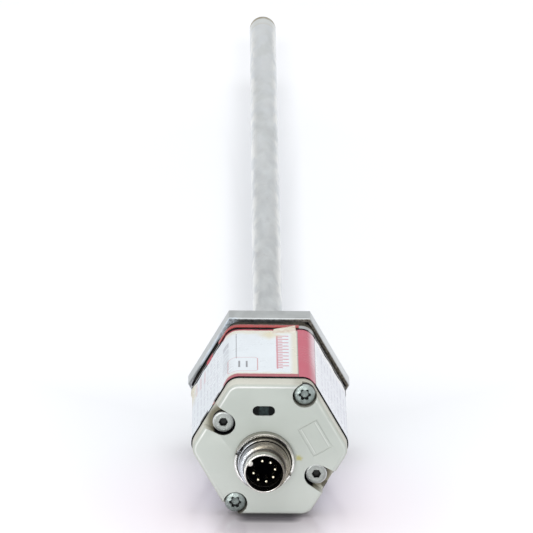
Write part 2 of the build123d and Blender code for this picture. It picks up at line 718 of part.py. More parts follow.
def guide_tube():
    """Inner tube of the rod, from the tray's rear wall almost to the plug."""
    return ring(GUIDE_TUBE_R, GUIDE_BORE_R, TRAY_Y, GUIDE_TUBE_END)


def tube_spacers():
    """Soft rings that centre the inner tube in the rod."""
    pitch = (GUIDE_TUBE_END - NECK_L) / (SPACER_COUNT + 1)
    return [ring(ROD_BORE_R - FIT, GUIDE_TUBE_R + FIT, NECK_L + pitch * turn - SPACER_T / 2,
                 NECK_L + pitch * turn + SPACER_T / 2) for turn in range(1, SPACER_COUNT + 1)]


def waveguide():
    """Fine wire along the axis that carries the sound pulse."""
    return bar(WAVE_R, TRAY_INNER_FRONT_Y, LINK_Y)


def return_wire():
    """Copper wire beside the waveguide that closes the current loop."""
    return bar(RETURN_R, TRAY_INNER_REAR_Y - RETURN_BITE, LINK_Y, 0, RETURN_Z)


def return_terminal():
    """Small post on the tray's floor that takes the return wire."""
    post = block(-TERMINAL_W / 2, TERMINAL_W / 2, TRAY_INNER_REAR_Y - TERMINAL_L,
                 TRAY_INNER_REAR_Y, TRAY_FLOOR, RETURN_Z + RETURN_R + TERMINAL_COVER)
    return post - bar(RETURN_R + FIT, TRAY_INNER_REAR_Y - RETURN_BITE - FIT, TRAY_INNER_REAR_Y,
                      0, RETURN_Z)


def end_link():
    """Brass disc that joins the two wires at the far end."""
    return bar(GUIDE_BORE_R - FIT, LINK_Y, LINK_Y + LINK_T)


def end_damper():
    """Soft sleeve on the last stretch of the waveguide that soaks up the pulse."""
    return ring(END_DAMPER_D / 2, WAVE_R + FIT, LINK_Y - END_DAMPER_L, LINK_Y)


def element_carrier():
    """Moulded tray on the base plate, open at the top, with a bed under the coils."""
    half_w = CARRIER_PLATE_W / 2
    half_h = CARRIER_PLATE_H / 2
    body = block(-half_w, half_w, TRAY_Y, REAR_GAP_Y, -half_h, half_h)
    body += block(-TRAY_W / 2, TRAY_W / 2, TRAY_FRONT_Y, TRAY_Y, TRAY_BOTTOM, TRAY_TOP)
    inner = TRAY_W / 2 - TRAY_WALL
    body -= block(-inner, inner, TRAY_INNER_FRONT_Y, TRAY_INNER_REAR_Y, TRAY_FLOOR, TRAY_TOP)
    body += block(-inner, inner, PICKUP_Y - COIL_L / 2, PICKUP_Y + COIL_L / 2, TRAY_FLOOR,
                  WAVE_R + TAPE_T / 2 - COIL_H / 2)
    body -= bar(GUIDE_TUBE_R + FIT, TRAY_Y, REAR_GAP_Y)
    body -= bar(WAVE_R + FIT, TRAY_INNER_REAR_Y, TRAY_Y)
    body -= bar(RETURN_R + FIT, TRAY_INNER_REAR_Y, TRAY_Y, 0, RETURN_Z)
    for side in (-1, 1):
        x = side * CARRIER_SCREW_X
        body -= bar(CARRIER_SCREW_D / 2 + HOLE_ROOM, TRAY_Y, REAR_GAP_Y, x, CARRIER_SCREW_Z)
    return body


def carrier_screws():
    """Two small screws that fasten the tray to the base plate."""
    screws = []
    for side in (-1, 1):
        x = side * CARRIER_SCREW_X
        head = bar(CARRIER_HEAD_D / 2, TRAY_Y - CARRIER_HEAD_H, TRAY_Y, x, CARRIER_SCREW_Z)
        tip = TRAY_Y + CARRIER_SCREW_L
        screws.append(head + bar(CARRIER_SCREW_D / 2, TRAY_Y, tip, x, CARRIER_SCREW_Z))
    return screws


def waveguide_clamp():
    """Brass block that holds the near end of the waveguide."""
    body = block(-CLAMP_W / 2, CLAMP_W / 2, TRAY_INNER_FRONT_Y, CLAMP_REAR_Y, TRAY_FLOOR,
                 TRAY_FLOOR + CLAMP_H)
    return body - bar(WAVE_R + FIT, TRAY_INNER_FRONT_Y, CLAMP_REAR_Y)


def near_damper():
    """Soft block round the waveguide between the coils and the rod."""
    y_high = TRAY_INNER_REAR_Y - TERMINAL_L - NEAR_DAMPER_GAP
    body = block(-NEAR_DAMPER_W / 2, NEAR_DAMPER_W / 2, y_high - NEAR_DAMPER_L, y_high,
                 TRAY_FLOOR, TRAY_FLOOR + NEAR_DAMPER_H)
    return body - bar(WAVE_R + FIT, y_high - NEAR_DAMPER_L, y_high)


def pickup_tape():
    """Thin strip welded across the waveguide, through both coils."""
    return block(-TAPE_W / 2, TAPE_W / 2, PICKUP_Y - TAPE_L / 2, PICKUP_Y + TAPE_L / 2,
                 WAVE_R, WAVE_R + TAPE_T)


def pickup_coils():
    """Two flat coils round the strip, on the tray's bed."""
    middle = WAVE_R + TAPE_T / 2
    coils = []
    for side in (-1, 1):
        x = side * COIL_PITCH / 2
        coil = block(x - COIL_W / 2, x + COIL_W / 2, PICKUP_Y - COIL_L / 2, PICKUP_Y + COIL_L / 2,
                     middle - COIL_H / 2, middle + COIL_H / 2)
        slot = block(x - COIL_W / 2, x + COIL_W / 2, PICKUP_Y - TAPE_L / 2 - FIT,
                     PICKUP_Y + TAPE_L / 2 + FIT, WAVE_R - FIT, WAVE_R + TAPE_T + FIT)
        coils.append(coil - slot)
    return coils


def bias_magnet():
    """Flat magnet that lies on the coils."""
    low = WAVE_R + TAPE_T / 2 + COIL_H / 2
    return block(-MAGNET_W / 2, MAGNET_W / 2, PICKUP_Y - MAGNET_L / 2, PICKUP_Y + MAGNET_L / 2,
                 low, low + MAGNET_H)


def group(solids):
    """Separate like solids kept together under one name."""
    return Compound(children=list(solids))


PIECES = {
    "mounting_flange": mounting_flange(),
    "rod_tube": rod_tube(),
    "rod_end_plug": rod_end_plug(),
    "neck_seal": neck_seal(),
    "flange_gasket": flange_gasket(),
    "base_plate": base_plate(),
    "base_plate_film": base_plate_film(),
    "base_plate_screws": group(plate_screw(x, z) for x, z in CORNER_SCREWS),
    "rear_gasket": gap_gasket(HOUSING_Y, REAR_GAP_Y),
    "housing": housing(),
    "label_wrap": label_wrap(),
    "front_gasket": gap_gasket(LID_Y, FRONT_GAP_Y),
    "connector_lid": connector_lid(),
    "status_window": status_window(),
    "long_screws": group(socket_screw(x, z) for x, z in LONG_SCREWS),
    "lid_screws": group(lobe_screw(x, z) for x, z in CORNER_SCREWS),
    "connector_shell": connector_shell(),
    "connector_seal": connector_seal(),
    "connector_ring_nut": connector_ring_nut(),
    "connector_insert": connector_insert(),
    "connector_pins": group(connector_pin(x, z) for x, z in pin_places()),
    "connector_board": connector_board(),
    "connector_flex": connector_flex(),
    "signal_board": board(1),
    "power_board": board(-1),
    "signal_chips": group(signal_chips()),
    "power_parts": group(power_parts()),
    "board_header": board_header(),
    "lamp_block": lamp_block(),
    "status_lamps": group(status_lamps()),
    "element_nut": element_nut(),
    "guide_tube": guide_tube(),
    "tube_spacers": group(tube_spacers()),
    "waveguide": waveguide(),
    "return_wire": return_wire(),
    "return_terminal": return_terminal(),
    "end_link": end_link(),
    "end_damper": end_damper(),
    "element_carrier": element_carrier(),
    "carrier_screws": group(carrier_screws()),
    "waveguide_clamp": waveguide_clamp(),
    "near_damper": near_damper(),
    "pickup_tape": pickup_tape(),
    "pickup_coils": group(pickup_coils()),
    "bias_magnet": bias_magnet(),
}

os.makedirs("parts", exist_ok=True)
for name, piece in PIECES.items():
    export_step(piece, f"parts/{name}.step")
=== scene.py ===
"""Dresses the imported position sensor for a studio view: threads, foil label, seals, cast lid, metals.

The part's frame gives every place: +Y runs along the rod, the lid faces -Y and +Z is up. Shapes are
worked out in millimetres and put into Blender in metres.
"""
import math

import bmesh
import bpy
import numpy as np
from mathutils import Matrix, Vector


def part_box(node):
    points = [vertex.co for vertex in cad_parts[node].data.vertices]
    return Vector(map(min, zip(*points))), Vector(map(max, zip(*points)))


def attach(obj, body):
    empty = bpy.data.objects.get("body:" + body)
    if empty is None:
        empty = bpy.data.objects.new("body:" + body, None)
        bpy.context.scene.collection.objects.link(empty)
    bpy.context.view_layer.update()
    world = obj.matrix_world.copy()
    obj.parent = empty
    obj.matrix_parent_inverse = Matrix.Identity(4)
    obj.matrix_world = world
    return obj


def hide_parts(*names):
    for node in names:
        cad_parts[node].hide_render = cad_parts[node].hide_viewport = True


bl_info = {
    "name": "Rod Position Sensor",
    "version": (1, 0, 0),
    "blender": (4, 5, 0),
    "location": "3D View > Sidebar > Sensor",
    "description": "Dresses the packed position sensor and sets its studio",
    "category": "Object",
}

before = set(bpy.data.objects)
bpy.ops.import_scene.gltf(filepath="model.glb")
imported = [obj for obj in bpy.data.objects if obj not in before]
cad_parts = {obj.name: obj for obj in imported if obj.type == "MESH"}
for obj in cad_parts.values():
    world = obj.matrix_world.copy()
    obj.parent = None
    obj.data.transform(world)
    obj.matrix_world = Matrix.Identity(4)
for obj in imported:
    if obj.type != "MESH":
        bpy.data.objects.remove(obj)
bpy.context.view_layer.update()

MM = 0.001
BODY = "root"
TAU = 2 * math.pi
SIXTH = math.pi / 3
COS_30 = 0.866


def box_mm(node):
    """Lowest and highest corners of a CAD node in millimetres."""
    low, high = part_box(node)
    return np.array(low) / MM, np.array(high) / MM


# Stations that the frame gives, in mm
FLANGE_LOW, FLANGE_HIGH = box_mm("mounting_flange")
PLATE_LOW = box_mm("base_plate")[0]
LABEL_LOW, LABEL_HIGH = box_mm("label_wrap")
FILM_LOW, FILM_HIGH = box_mm("base_plate_film")
SHELL_LOW, SHELL_HIGH = box_mm("connector_shell")
ROD_LOW, ROD_HIGH = box_mm("rod_tube")
PLUG_LOW, PLUG_HIGH = box_mm("rod_end_plug")
NUT_LOW, NUT_HIGH = box_mm("connector_ring_nut")
NUT_FRONT = NUT_LOW[1]
NUT_R = (NUT_HIGH[0] - NUT_LOW[0]) / 2
FACE_Y = box_mm("connector_lid")[0][1]
CONNECTOR_X = (SHELL_LOW[0] + SHELL_HIGH[0]) / 2
CONNECTOR_Z = (SHELL_LOW[2] + SHELL_HIGH[2]) / 2
FLOOR_Z = FLANGE_LOW[2]

# Flange and neck, mm; FLANGE_SHARP is the angle in degrees above which its edges are sharp
FLANGE_SHARP = 28.0
FLANGE_EDGE = 0.4
FLANGE_CORNER = 0.35
NUT_BORE_R = 7.03
NUT_BORE_L = 4.0
ROD_BORE_R = 3.75
SPIGOT_BORE_R = 4.73
SHOULDER_Y = 2.0
REAR_EDGE = 0.25
NECK_CHAMFER = 1.0
UNDERCUT_R = 8.1
UNDERCUT_L = 3.2
NECK_R = 9.0
NECK_PITCH = 1.5
TAP_R = 2.05
TAP_END = -1.3

# Rod, mm
FIT = 0.03
PLUG_ROUND = 2.4
SEAM_TO_END = 11.8

# Screws, mm and degrees; a drive's radius is how far its black reaches
LONG_SCREW_R = 17.3
LONG_SCREW_ANGLE = 150.0
CORNER_SCREW_R = 21.3
CORNER_SCREW_ANGLE = 59.2
SCREW_HEAD_R = 3.4
SHANK_R = 2.0
SCREW_PITCH = 0.7
SCREW_THREAD = 0.35
SCREW_THREAD_L = 12.0
SOCKET_HEAD_L = 2.8
SOCKET_AF = 2.5
SOCKET_DRIVE_R = 1.45
SOCKET_DRIVE_L = 1.4
LOBE_HEAD_L = 2.4
LOBE_DRIVE_R = 1.95
LOBE_DRIVE_L = 1.1
LOBE_DOME = 0.35

# Connector, mm
SHELL_FLANGE_L = 2.0
GROOVE_OUTER_R = 9.68
GROOVE_INNER_R = 8.62
GROOVE_L = 1.0
COLLAR_R = 8.5
COLLAR_END = -76.4
RELIEF_R = 7.3
RELIEF_END = -77.2
CONNECTOR_THREAD_R = 8.0
CONNECTOR_PITCH = 1.0
THREAD_END = -80.4
SLEEVE_R = 6.5
SOCKET_R = 5.95
SOCKET_FLOOR = -77.0
THREAD_BEVEL = 0.35
KEY_ANGLE = 146.0
KEY_CENTRE_R = 5.5
KEY_R = 0.95
KEY_SETBACK = 0.7

# Head, mm
HEAD_CORNER = 4.88
PANEL_X = 14.4
PANEL_Z = 4.2
PANEL_L = 10.6
PANEL_W = 7.1
PANEL_TURN = -60.0
LABEL_AF = 2 * LABEL_HIGH[2]
FILM_AF = 2 * FILM_HIGH[2]
HALF_SEAM = 0.5
FILM_START = -19.4
FILM_HALF_W = 1.4
FOIL_T = 0.18
FLAP_T = 0.12
STAIN_PLACE = (9.3, -2.6)
POCKET_SPOTS = (((17.9, -13.0), 1.9), ((21.9, -8.4), 1.1))
FACET = (LABEL_AF / 2 - HEAD_CORNER) * math.tan(math.pi / 6)
CORNER_ARC = HEAD_CORNER * SIXTH

# Peeled corner of the label: places (x, y) at its fold and at its free edge, mm
FLAP_FOLD = np.array(((0.55, -22.95), (8.7, -21.6)))
FLAP_FREE = np.array(((1.3, -17.9), (8.3, -15.0)))

# Label's ends along Y and the pitches of its print, mm
LABEL_FRONT, LABEL_REAR = LABEL_LOW[1], LABEL_HIGH[1]
ROW_PITCH = 2.1
BAR_PITCH = 1.15
TICK_PITCH = 1.65

# Colours that several finishes share
# Black painted as shade: the gap round the flange's seal, the base plate's side edges, the screw drives
SHADE_BLACK = (0.004, 0.004, 0.005)
SEAL_BLACK = (0.008, 0.008, 0.010)
DUST = (0.22, 0.21, 0.19)
GROOVE_SHADE = (0.34, 0.36, 0.33)
# White painted as highlights on the lid's rounded edge and in its panel
HIGHLIGHT_WHITE = (0.95, 0.95, 0.93)


class SensorShape(bpy.types.PropertyGroup):
    """Sizes that finish the sensor's shapes."""

    edge_wear: bpy.props.FloatProperty(
        name="Edge Break", description="Width of the broken edges on cast and cut pieces",
        default=0.22 * MM, min=0.0, unit="LENGTH", subtype="DISTANCE")
    neck_depth: bpy.props.FloatProperty(
        name="Neck Thread Depth", description="Depth of the thread on the neck",
        default=0.85 * MM, min=0.0, unit="LENGTH", subtype="DISTANCE")
    connector_depth: bpy.props.FloatProperty(
        name="Connector Thread Depth", description="Depth of the thread on the connector",
        default=0.5 * MM, min=0.0, unit="LENGTH", subtype="DISTANCE")
    flap_lift: bpy.props.FloatProperty(
        name="Flap Lift", description="How far the peeled corner of the label stands up",
        default=0.72 * MM, min=0.0, unit="LENGTH", subtype="DISTANCE")
    foil_wrinkle: bpy.props.FloatProperty(
        name="Foil Wrinkle", description="Height of the waves in the label",
        default=0.03 * MM, min=0.0, unit="LENGTH", subtype="DISTANCE")


class SensorColours(bpy.types.PropertyGroup):
    """Colours of the sensor's finishes."""

    lid: bpy.props.FloatVectorProperty(
        name="Lid", description="Colour of the cast lid", subtype="COLOR",
        default=(0.505, 0.545, 0.50), min=0.0, max=1.0)
    lid_edge: bpy.props.FloatVectorProperty(
        name="Lid Edge", description="Colour of the lid's side and worn edge", subtype="COLOR",
        default=(0.67, 0.66, 0.58), min=0.0, max=1.0)
    steel: bpy.props.FloatVectorProperty(
        name="Steel", description="Colour of the flange and the rod", subtype="COLOR",
        default=(0.57, 0.60, 0.605), min=0.0, max=1.0)
    nickel: bpy.props.FloatVectorProperty(
        name="Nickel", description="Colour of the connector's plating", subtype="COLOR",
        default=(0.64, 0.62, 0.58), min=0.0, max=1.0)
    paper: bpy.props.FloatVectorProperty(
        name="Label White", description="Ground colour of the label", subtype="COLOR",
        default=(0.78, 0.84, 0.89), min=0.0, max=1.0)
    red: bpy.props.FloatVectorProperty(
        name="Label Red", description="Colour of the label's side band", subtype="COLOR",
        default=(0.54, 0.085, 0.14), min=0.0, max=1.0)
    film: bpy.props.FloatVectorProperty(
        name="Film Red", description="Colour of the film on the base plate", subtype="COLOR",
        default=(0.40, 0.032, 0.032), min=0.0, max=1.0)


class SensorStudio(bpy.types.PropertyGroup):
    """Floor, light and camera."""

    floor: bpy.props.FloatVectorProperty(
        name="Floor", description="Colour of the floor", subtype="COLOR",
        default=(0.905, 0.925, 0.965), min=0.0, max=1.0)
    sky: bpy.props.FloatProperty(
        name="Surround", description="Strength of the soft light from all sides",
        default=0.62, min=0.0)
    overhead: bpy.props.FloatProperty(
        name="Overhead Light", description="Power of the soft box above, in watts",
        default=8.5, min=0.0)
    front: bpy.props.FloatProperty(
        name="Front Light", description="Power of the soft box beside the camera, in watts",
        default=8.0, min=0.0)
    lens: bpy.props.FloatProperty(
        name="Lens", description="Focal length in millimetres on a 36 mm sensor",
        default=465.06, min=1.0)


# Surfaces

def hexagon_radius(angle, across_flats, corner):
    """Distance from the axis to a hexagon with rounded corners and flats above and below.

    On a flat it is the apothem over the cosine of the angle from the flat's middle. On a corner it is
    where the ray meets the corner's circle: reach times the cosine of the angle from the corner, plus
    the root of the corner radius squared less the ray's offset squared.
    """
    apothem = across_flats / 2
    reach = (apothem - corner) / math.cos(math.pi / 6)
    from_corner = np.mod(angle + SIXTH / 2, SIXTH) - SIXTH / 2
    from_flat = SIXTH / 2 - np.abs(from_corner)
    tangent = math.atan((apothem - corner) * math.tan(math.pi / 6) / apothem)
    offset = corner ** 2 - (reach * np.sin(from_corner)) ** 2
    arc = reach * np.cos(from_corner) + np.sqrt(np.maximum(offset, 0))
    return np.where(from_flat < tangent, apothem / np.cos(from_flat), arc)


def hexagon_angles(across_flats, corner, flat_steps, corner_steps):
    """Angles round a hexagon, even along each flat and closer together round each corner."""
    apothem = across_flats / 2
    tangent = math.atan((apothem - corner) * math.tan(math.pi / 6) / apothem)
    bend = SIXTH / 2 - tangent
    on_corner = np.linspace(-bend, bend, corner_steps, endpoint=False)
    on_flat = np.linspace(bend, SIXTH - bend, flat_steps, endpoint=False)
    one = np.concatenate([on_corner, on_flat])
    return (one[None, :] + SIXTH * np.arange(6)[:, None]).ravel()


def hexagon_path(s, across_flats, corner):
    """Points (x, z) and outward directions at arc length s from the middle of the top flat.

    Each side is a straight run and a corner arc. The point is the side's normal times the apothem less
    the corner, plus the tangent times the straight run, plus the outward direction times the corner.
    """
    half = (across_flats / 2 - corner) * math.tan(math.pi / 6)
    side = 2 * half + corner * SIXTH
    turn = np.floor((s + half) / side)
    along = s - turn * side
    angle = turn * SIXTH
    normal = np.stack([np.sin(angle), np.cos(angle)], -1)
    tangent = np.stack([np.cos(angle), -np.sin(angle)], -1)
    bend = np.clip((along - half) / corner, 0, SIXTH)[..., None]
    outward = normal * np.cos(bend) + tangent * np.sin(bend)
    base = normal * (across_flats / 2 - corner) + tangent * np.minimum(along, half)[..., None]
    return base + outward * corner, outward


def rounded(profile, steps=4):
    """A (y, r) outline whose corners are replaced by arcs; each row is y, r and the corner's radius.

    A corner's arc starts and ends at its tangent length, radius over the tangent of half the corner's
    inner angle, and its points follow a quadratic curve between them.
    """
    rows = np.array(profile, float)
    points = rows[:, :2]
    result = []
    for before, here, after, radius in zip(np.roll(points, 1, 0), points, np.roll(points, -1, 0),
                                           rows[:, 2]):
        if radius <= 0:
            result.append(here[None, :])
            continue
        back = (before - here) / np.linalg.norm(before - here)
        ahead = (after - here) / np.linalg.norm(after - here)
        half_angle = math.acos(np.clip(back @ ahead, -1, 1)) / 2
        reach = radius / max(math.tan(half_angle), 1e-6)
        t = np.linspace(0, 1, steps + 1)[:, None]
        start = here + back * reach
        end = here + ahead * reach
        result.append((1 - t) ** 2 * start + 2 * t * (1 - t) * here + t ** 2 * end)
    return np.concatenate(result)


def turned(profile, angles, centre=(0.0, 0.0), radius_of=None):
    """A profile carried round Y: (y, r) at angle t is (cx + r cos t, y, cz + r sin t).

    radius_of, if given, changes r to a function of y, r and t, as for a thread or a hexagon.
    """
    y = np.broadcast_to(profile[:, 0][:, None], (len(profile), len(angles)))
    r = np.broadcast_to(profile[:, 1][:, None], y.shape)
    if radius_of is not None:
        r = radius_of(y, r, angles[None, :])
    return np.stack([centre[0] + r * np.cos(angles), y, centre[1] + r * np.sin(angles)], -1)


def thread_cut(y, angle, start, end, pitch, depth):
    """Depth of a right-hand thread: a clipped triangle wave of y over the pitch less the turn.

    It fades in and out over most of a pitch at both ends.
    """
    phase = np.mod((y - start) / pitch - angle / TAU, 1.0)
    wave = np.clip((np.abs(2 * phase - 1) - 0.14) / 0.72, 0, 1)
    fade = np.clip(np.minimum(y - start, end - y) / (0.8 * pitch), 0, 1)
    return depth * wave * fade


def grid_faces(rows, columns, wrap_rows, wrap_columns):
    """Corner numbers of the quads between neighbouring points of a grid."""
    i = np.arange(rows if wrap_rows else rows - 1)[:, None]
    j = np.arange(columns if wrap_columns else columns - 1)[None, :]
    near, far = i * columns, (i + 1) % rows * columns
    left, right = j, (j + 1) % columns
    return np.stack([near + left, near + right, far + right, far + left], -1).reshape(-1, 4)


def new_mesh(name, points, faces, uv=None):
    """A mesh from points in mm and quads, and if given a print map with one place for each point."""
    mesh = bpy.data.meshes.new(name)
    mesh.vertices.add(len(points))
    mesh.vertices.foreach_set("co", (points * MM).astype(np.float32).ravel())
    mesh.loops.add(faces.size)
    mesh.loops.foreach_set("vertex_index", faces.astype(np.int32).ravel())
    mesh.polygons.add(len(faces))
    mesh.polygons.foreach_set("loop_start", np.arange(0, faces.size, 4, dtype=np.int32))
    mesh.update(calc_edges=True)
    if uv is not None:
        layer = mesh.uv_layers.new(name="print")
        layer.data.foreach_set("uv", uv[faces.ravel()].astype(np.float32).ravel())
    mesh.validate()
    return mesh


def show(mesh, name):
    """An object for a mesh, at the origin."""
    thing = bpy.data.objects.new(name, mesh)
    bpy.context.scene.collection.objects.link(thing)
    return thing


def smooth(mesh, sharp=32.0):
    """Smooth shading, with sharp edges above an angle in degrees."""
    mesh.shade_smooth()
    mesh.set_sharp_from_angle(angle=math.radians(sharp))


def shells(name, grids, sharp=32.0):
    """One object from several closed grids; each is points, wrap rows, wrap columns.

    Doubled points are joined, poles closed and the faces pointed outwards.
    """
    points, faces, start = [], [], 0
    for grid, wrap_rows, wrap_columns in grids:
        rows, columns = grid.shape[:2]
        points.append(grid.reshape(-1, 3))
        faces.append(grid_faces(rows, columns, wrap_rows, wrap_columns) + start)
        start += rows * columns
    mesh = new_mesh(name, np.concatenate(points), np.concatenate(faces))
    work = bmesh.new()
    work.from_mesh(mesh)
    bmesh.ops.remove_doubles(work, verts=work.verts, dist=0.001 * MM)
    bmesh.ops.dissolve_degenerate(work, edges=work.edges, dist=0.0005 * MM)
    bmesh.ops.recalc_face_normals(work, faces=work.faces)
    work.to_mesh(mesh)
    work.free()
    smooth(mesh, sharp)
    return show(mesh, name)


def merged_copy(node, name):
    """An object with a CAD node's mesh, its points joined and its flat faces made whole."""
    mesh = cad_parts[node].data.copy()
    mesh.name = name
    mesh.materials.clear()
    work = bmesh.new()
    work.from_mesh(mesh)
    bmesh.ops.remove_doubles(work, verts=work.verts, dist=0.001 * MM)
    bmesh.ops.dissolve_limit(work, angle_limit=math.radians(0.3), verts=work.verts, edges=work.edges)
    work.to_mesh(mesh)
    work.free()
    smooth(mesh)
    return show(mesh, name)


def broken_edges(thing, width, angle=40.0, segments=2):
    """Rounds the thing's sharp edges."""
    bevel = thing.modifiers.new("edges", "BEVEL")
    bevel.width = width
    bevel.segments = segments
    bevel.limit_method = "ANGLE"
    bevel.angle_limit = math.radians(angle)
    bevel.harden_normals = True
    return thing


def fitted(thing, material, slot, *nodes):
    """Puts the material on a piece, lets it ride on the body and stand for its CAD nodes."""
    thing.data.materials.clear()
    thing.data.materials.append(material)
    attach(thing, BODY)
    if nodes:
        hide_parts(*nodes)
    return thing


def finish_nodes(material, *nodes):
    """Gives CAD nodes that stay their material."""
    for node in nodes:
        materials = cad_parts[node].data.materials
        materials.clear()
        materials.append(material)


def polar(radius, degrees):
    """X and Z at an angle seen from the lid's side."""
    return np.array([math.cos(math.radians(degrees)), math.sin(math.radians(degrees))]) * radius


def pair(radius, degrees):
    """Two opposite places round the head's axis."""
    return [polar(radius, degrees + turn) for turn in (0, 180)]


# Finishes

class Wiring:
    """Short calls for the nodes that the sensor's finishes and its studio use."""

    def __init__(self, tree):
        self.tree = tree

    def feed(self, socket, value):
        """Links an output to a socket, or sets the socket's own value."""
        if isinstance(value, bpy.types.NodeSocket):
            self.tree.links.new(value, socket)
        else:
            socket.default_value = value

    def node(self, kind, **settings):
        """A new node with its settings."""
        made = self.tree.nodes.new(kind)
        for key, value in settings.items():
            setattr(made, key, value)
        return made

    def place(self, scale=(1.0, 1.0, 1.0), turn=(0.0, 0.0, 0.0), shift=(0.0, 0.0, 0.0)):
        """Object coordinates in millimetres, scaled and turned."""
        coordinates = self.node("ShaderNodeTexCoord")
        mapping = self.node("ShaderNodeMapping")
        mapping.inputs["Scale"].default_value = tuple(v / MM for v in scale)
        mapping.inputs["Rotation"].default_value = tuple(math.radians(v) for v in turn)
        mapping.inputs["Location"].default_value = shift
        self.tree.links.new(coordinates.outputs["Object"], mapping.inputs["Vector"])
        return mapping.outputs["Vector"]

    def axes(self, vector):
        """The three parts of a vector."""
        split = self.node("ShaderNodeSeparateXYZ")
        self.feed(split.inputs[0], vector)
        return split.outputs[0], split.outputs[1], split.outputs[2]

    def noise(self, vector, scale, detail=3.0, distortion=0.0):
        """Cloudy noise between 0 and 1; scale is features for each millimetre."""
        made = self.node("ShaderNodeTexNoise")
        self.feed(made.inputs["Vector"], vector)
        made.inputs["Scale"].default_value = scale
        made.inputs["Detail"].default_value = detail
        made.inputs["Distortion"].default_value = distortion
        return made.outputs["Fac"]

    def chance(self, value):
        """A random number between 0 and 1 for each whole value."""
        made = self.node("ShaderNodeTexWhiteNoise", noise_dimensions="1D")
        self.feed(made.inputs["W"], value)
        return made.outputs["Value"]

    def sum(self, operation, a, b=0.0, c=0.0):
        """One Math node."""
        made = self.node("ShaderNodeMath", operation=operation)
        for socket, value in zip(made.inputs, (a, b, c)):
            self.feed(socket, value)
        return made.outputs[0]

    def step(self, value, low, high, start=0.0, end=1.0):
        """A smooth step from start to end while value goes from low to high."""
        made = self.node("ShaderNodeMapRange", interpolation_type="SMOOTHSTEP")
        for socket, part in zip(made.inputs, (value, low, high, start, end)):
            self.feed(socket, part)
        return made.outputs[0]

    def spread(self, noise, start=0.0, end=1.0):
        """Noise stretched from start to end over the middle of its range."""
        return self.step(noise, 0.3, 0.7, start, end)

    def between(self, value, low, high, soft=0.08):
        """One where low < value < high, with soft edges."""
        rise = self.step(value, low - soft, low + soft)
        fall = self.step(value, high - soft, high + soft, 1.0, 0.0)
        return self.sum("MULTIPLY", rise, fall)

    def both(self, *masks):
        """Product of masks."""
        result = masks[0]
        for mask in masks[1:]:
            result = self.sum("MULTIPLY", result, mask)
        return result

    def either(self, *masks):
        """Largest of masks."""
        result = masks[0]
        for mask in masks[1:]:
            result = self.sum("MAXIMUM", result, mask)
        return result

    def mix(self, share, a, b):
        """Colour a where share is 0 and b where it is 1."""
        made = self.node("ShaderNodeMix", data_type="RGBA")
        self.feed(made.inputs[0], share)
        for socket, value in ((made.inputs[6], a), (made.inputs[7], b)):
            self.feed(socket, value if isinstance(value, bpy.types.NodeSocket) else (*value, 1.0))
        return made.outputs[2]

    def coat(self, paint, colour, *masks):
        """The paint with a colour over it, as thick as the product of the masks."""
        return self.mix(self.both(*masks), paint, colour)

    def tone(self, colour, value, dark, light):
        """A colour whose brightness follows a value, from dark to light times the colour."""
        return self.mix(value, tuple(c * dark for c in colour), tuple(min(1, c * light) for c in colour))

    def radius(self, x, z):
        """Length of two parts."""
        return self.sum("SQRT", self.sum("MULTIPLY_ADD", x, x, self.sum("MULTIPLY", z, z)))

    def offset(self, value, centre):
        """How far a value is from a centre, either way."""
        return self.sum("ABSOLUTE", self.sum("SUBTRACT", value, centre))

    def apart(self, x, z, centre):
        """Distance of a place from a centre."""
        return self.radius(self.sum("SUBTRACT", x, centre[0]), self.sum("SUBTRACT", z, centre[1]))

    def frayed(self, value, scale, amount):
        """A value with noise added, which makes the border of a mask ragged."""
        waves = self.sum("MULTIPLY", self.noise(self.place(), scale, 4.0), amount)
        return self.sum("ADD", value, waves)

    def phase(self, value, pitch):
        """How far a value is through each pitch, from 0 to 1."""
        return self.sum("FRACT", self.sum("DIVIDE", value, pitch))

    def count(self, value, pitch):
        """How many whole pitches fit in a value."""
        return self.sum("FLOOR", self.sum("DIVIDE", value, pitch))

    def from_pair(self, reach, angle):
        """Distance in millimetres from the nearer of two axes, at reach and angle and opposite."""
        x, _, z = self.axes(self.place(turn=(0.0, angle, 0.0)))
        return self.radius(self.sum("SUBTRACT", self.sum("ABSOLUTE", x), reach), z)


class Finish(Wiring):
    """One material and its shader."""

    def __init__(self, name, colour, roughness, metallic=0.0, specular=0.5):
        self.material = bpy.data.materials.new(name)
        self.material.use_nodes = True
        super().__init__(self.material.node_tree)
        self.shader = self.tree.nodes["Principled BSDF"]
        self.put("Base Color", (*colour, 1.0))
        self.put("Roughness", roughness)
        self.put("Metallic", metallic)
        self.put("Specular IOR Level", specular)

    def put(self, socket, value):
        """Sets or links a socket of the shader."""
        self.feed(self.shader.inputs[socket], value)

    def paint(self):
        """The colour that the shader has now."""
        return self.shader.inputs["Base Color"].links[0].from_socket

    def bump(self, height, distance, strength=1.0, invert=False):
        """Relief from a height; distance is in millimetres."""
        made = self.node("ShaderNodeBump", invert=invert)
        made.inputs["Strength"].default_value = strength
        made.inputs["Distance"].default_value = distance * MM
        self.feed(made.inputs["Height"], height)
        self.put("Normal", made.outputs["Normal"])


def plain(colour):
    """A property's colour as a plain tuple."""
    return tuple(colour)


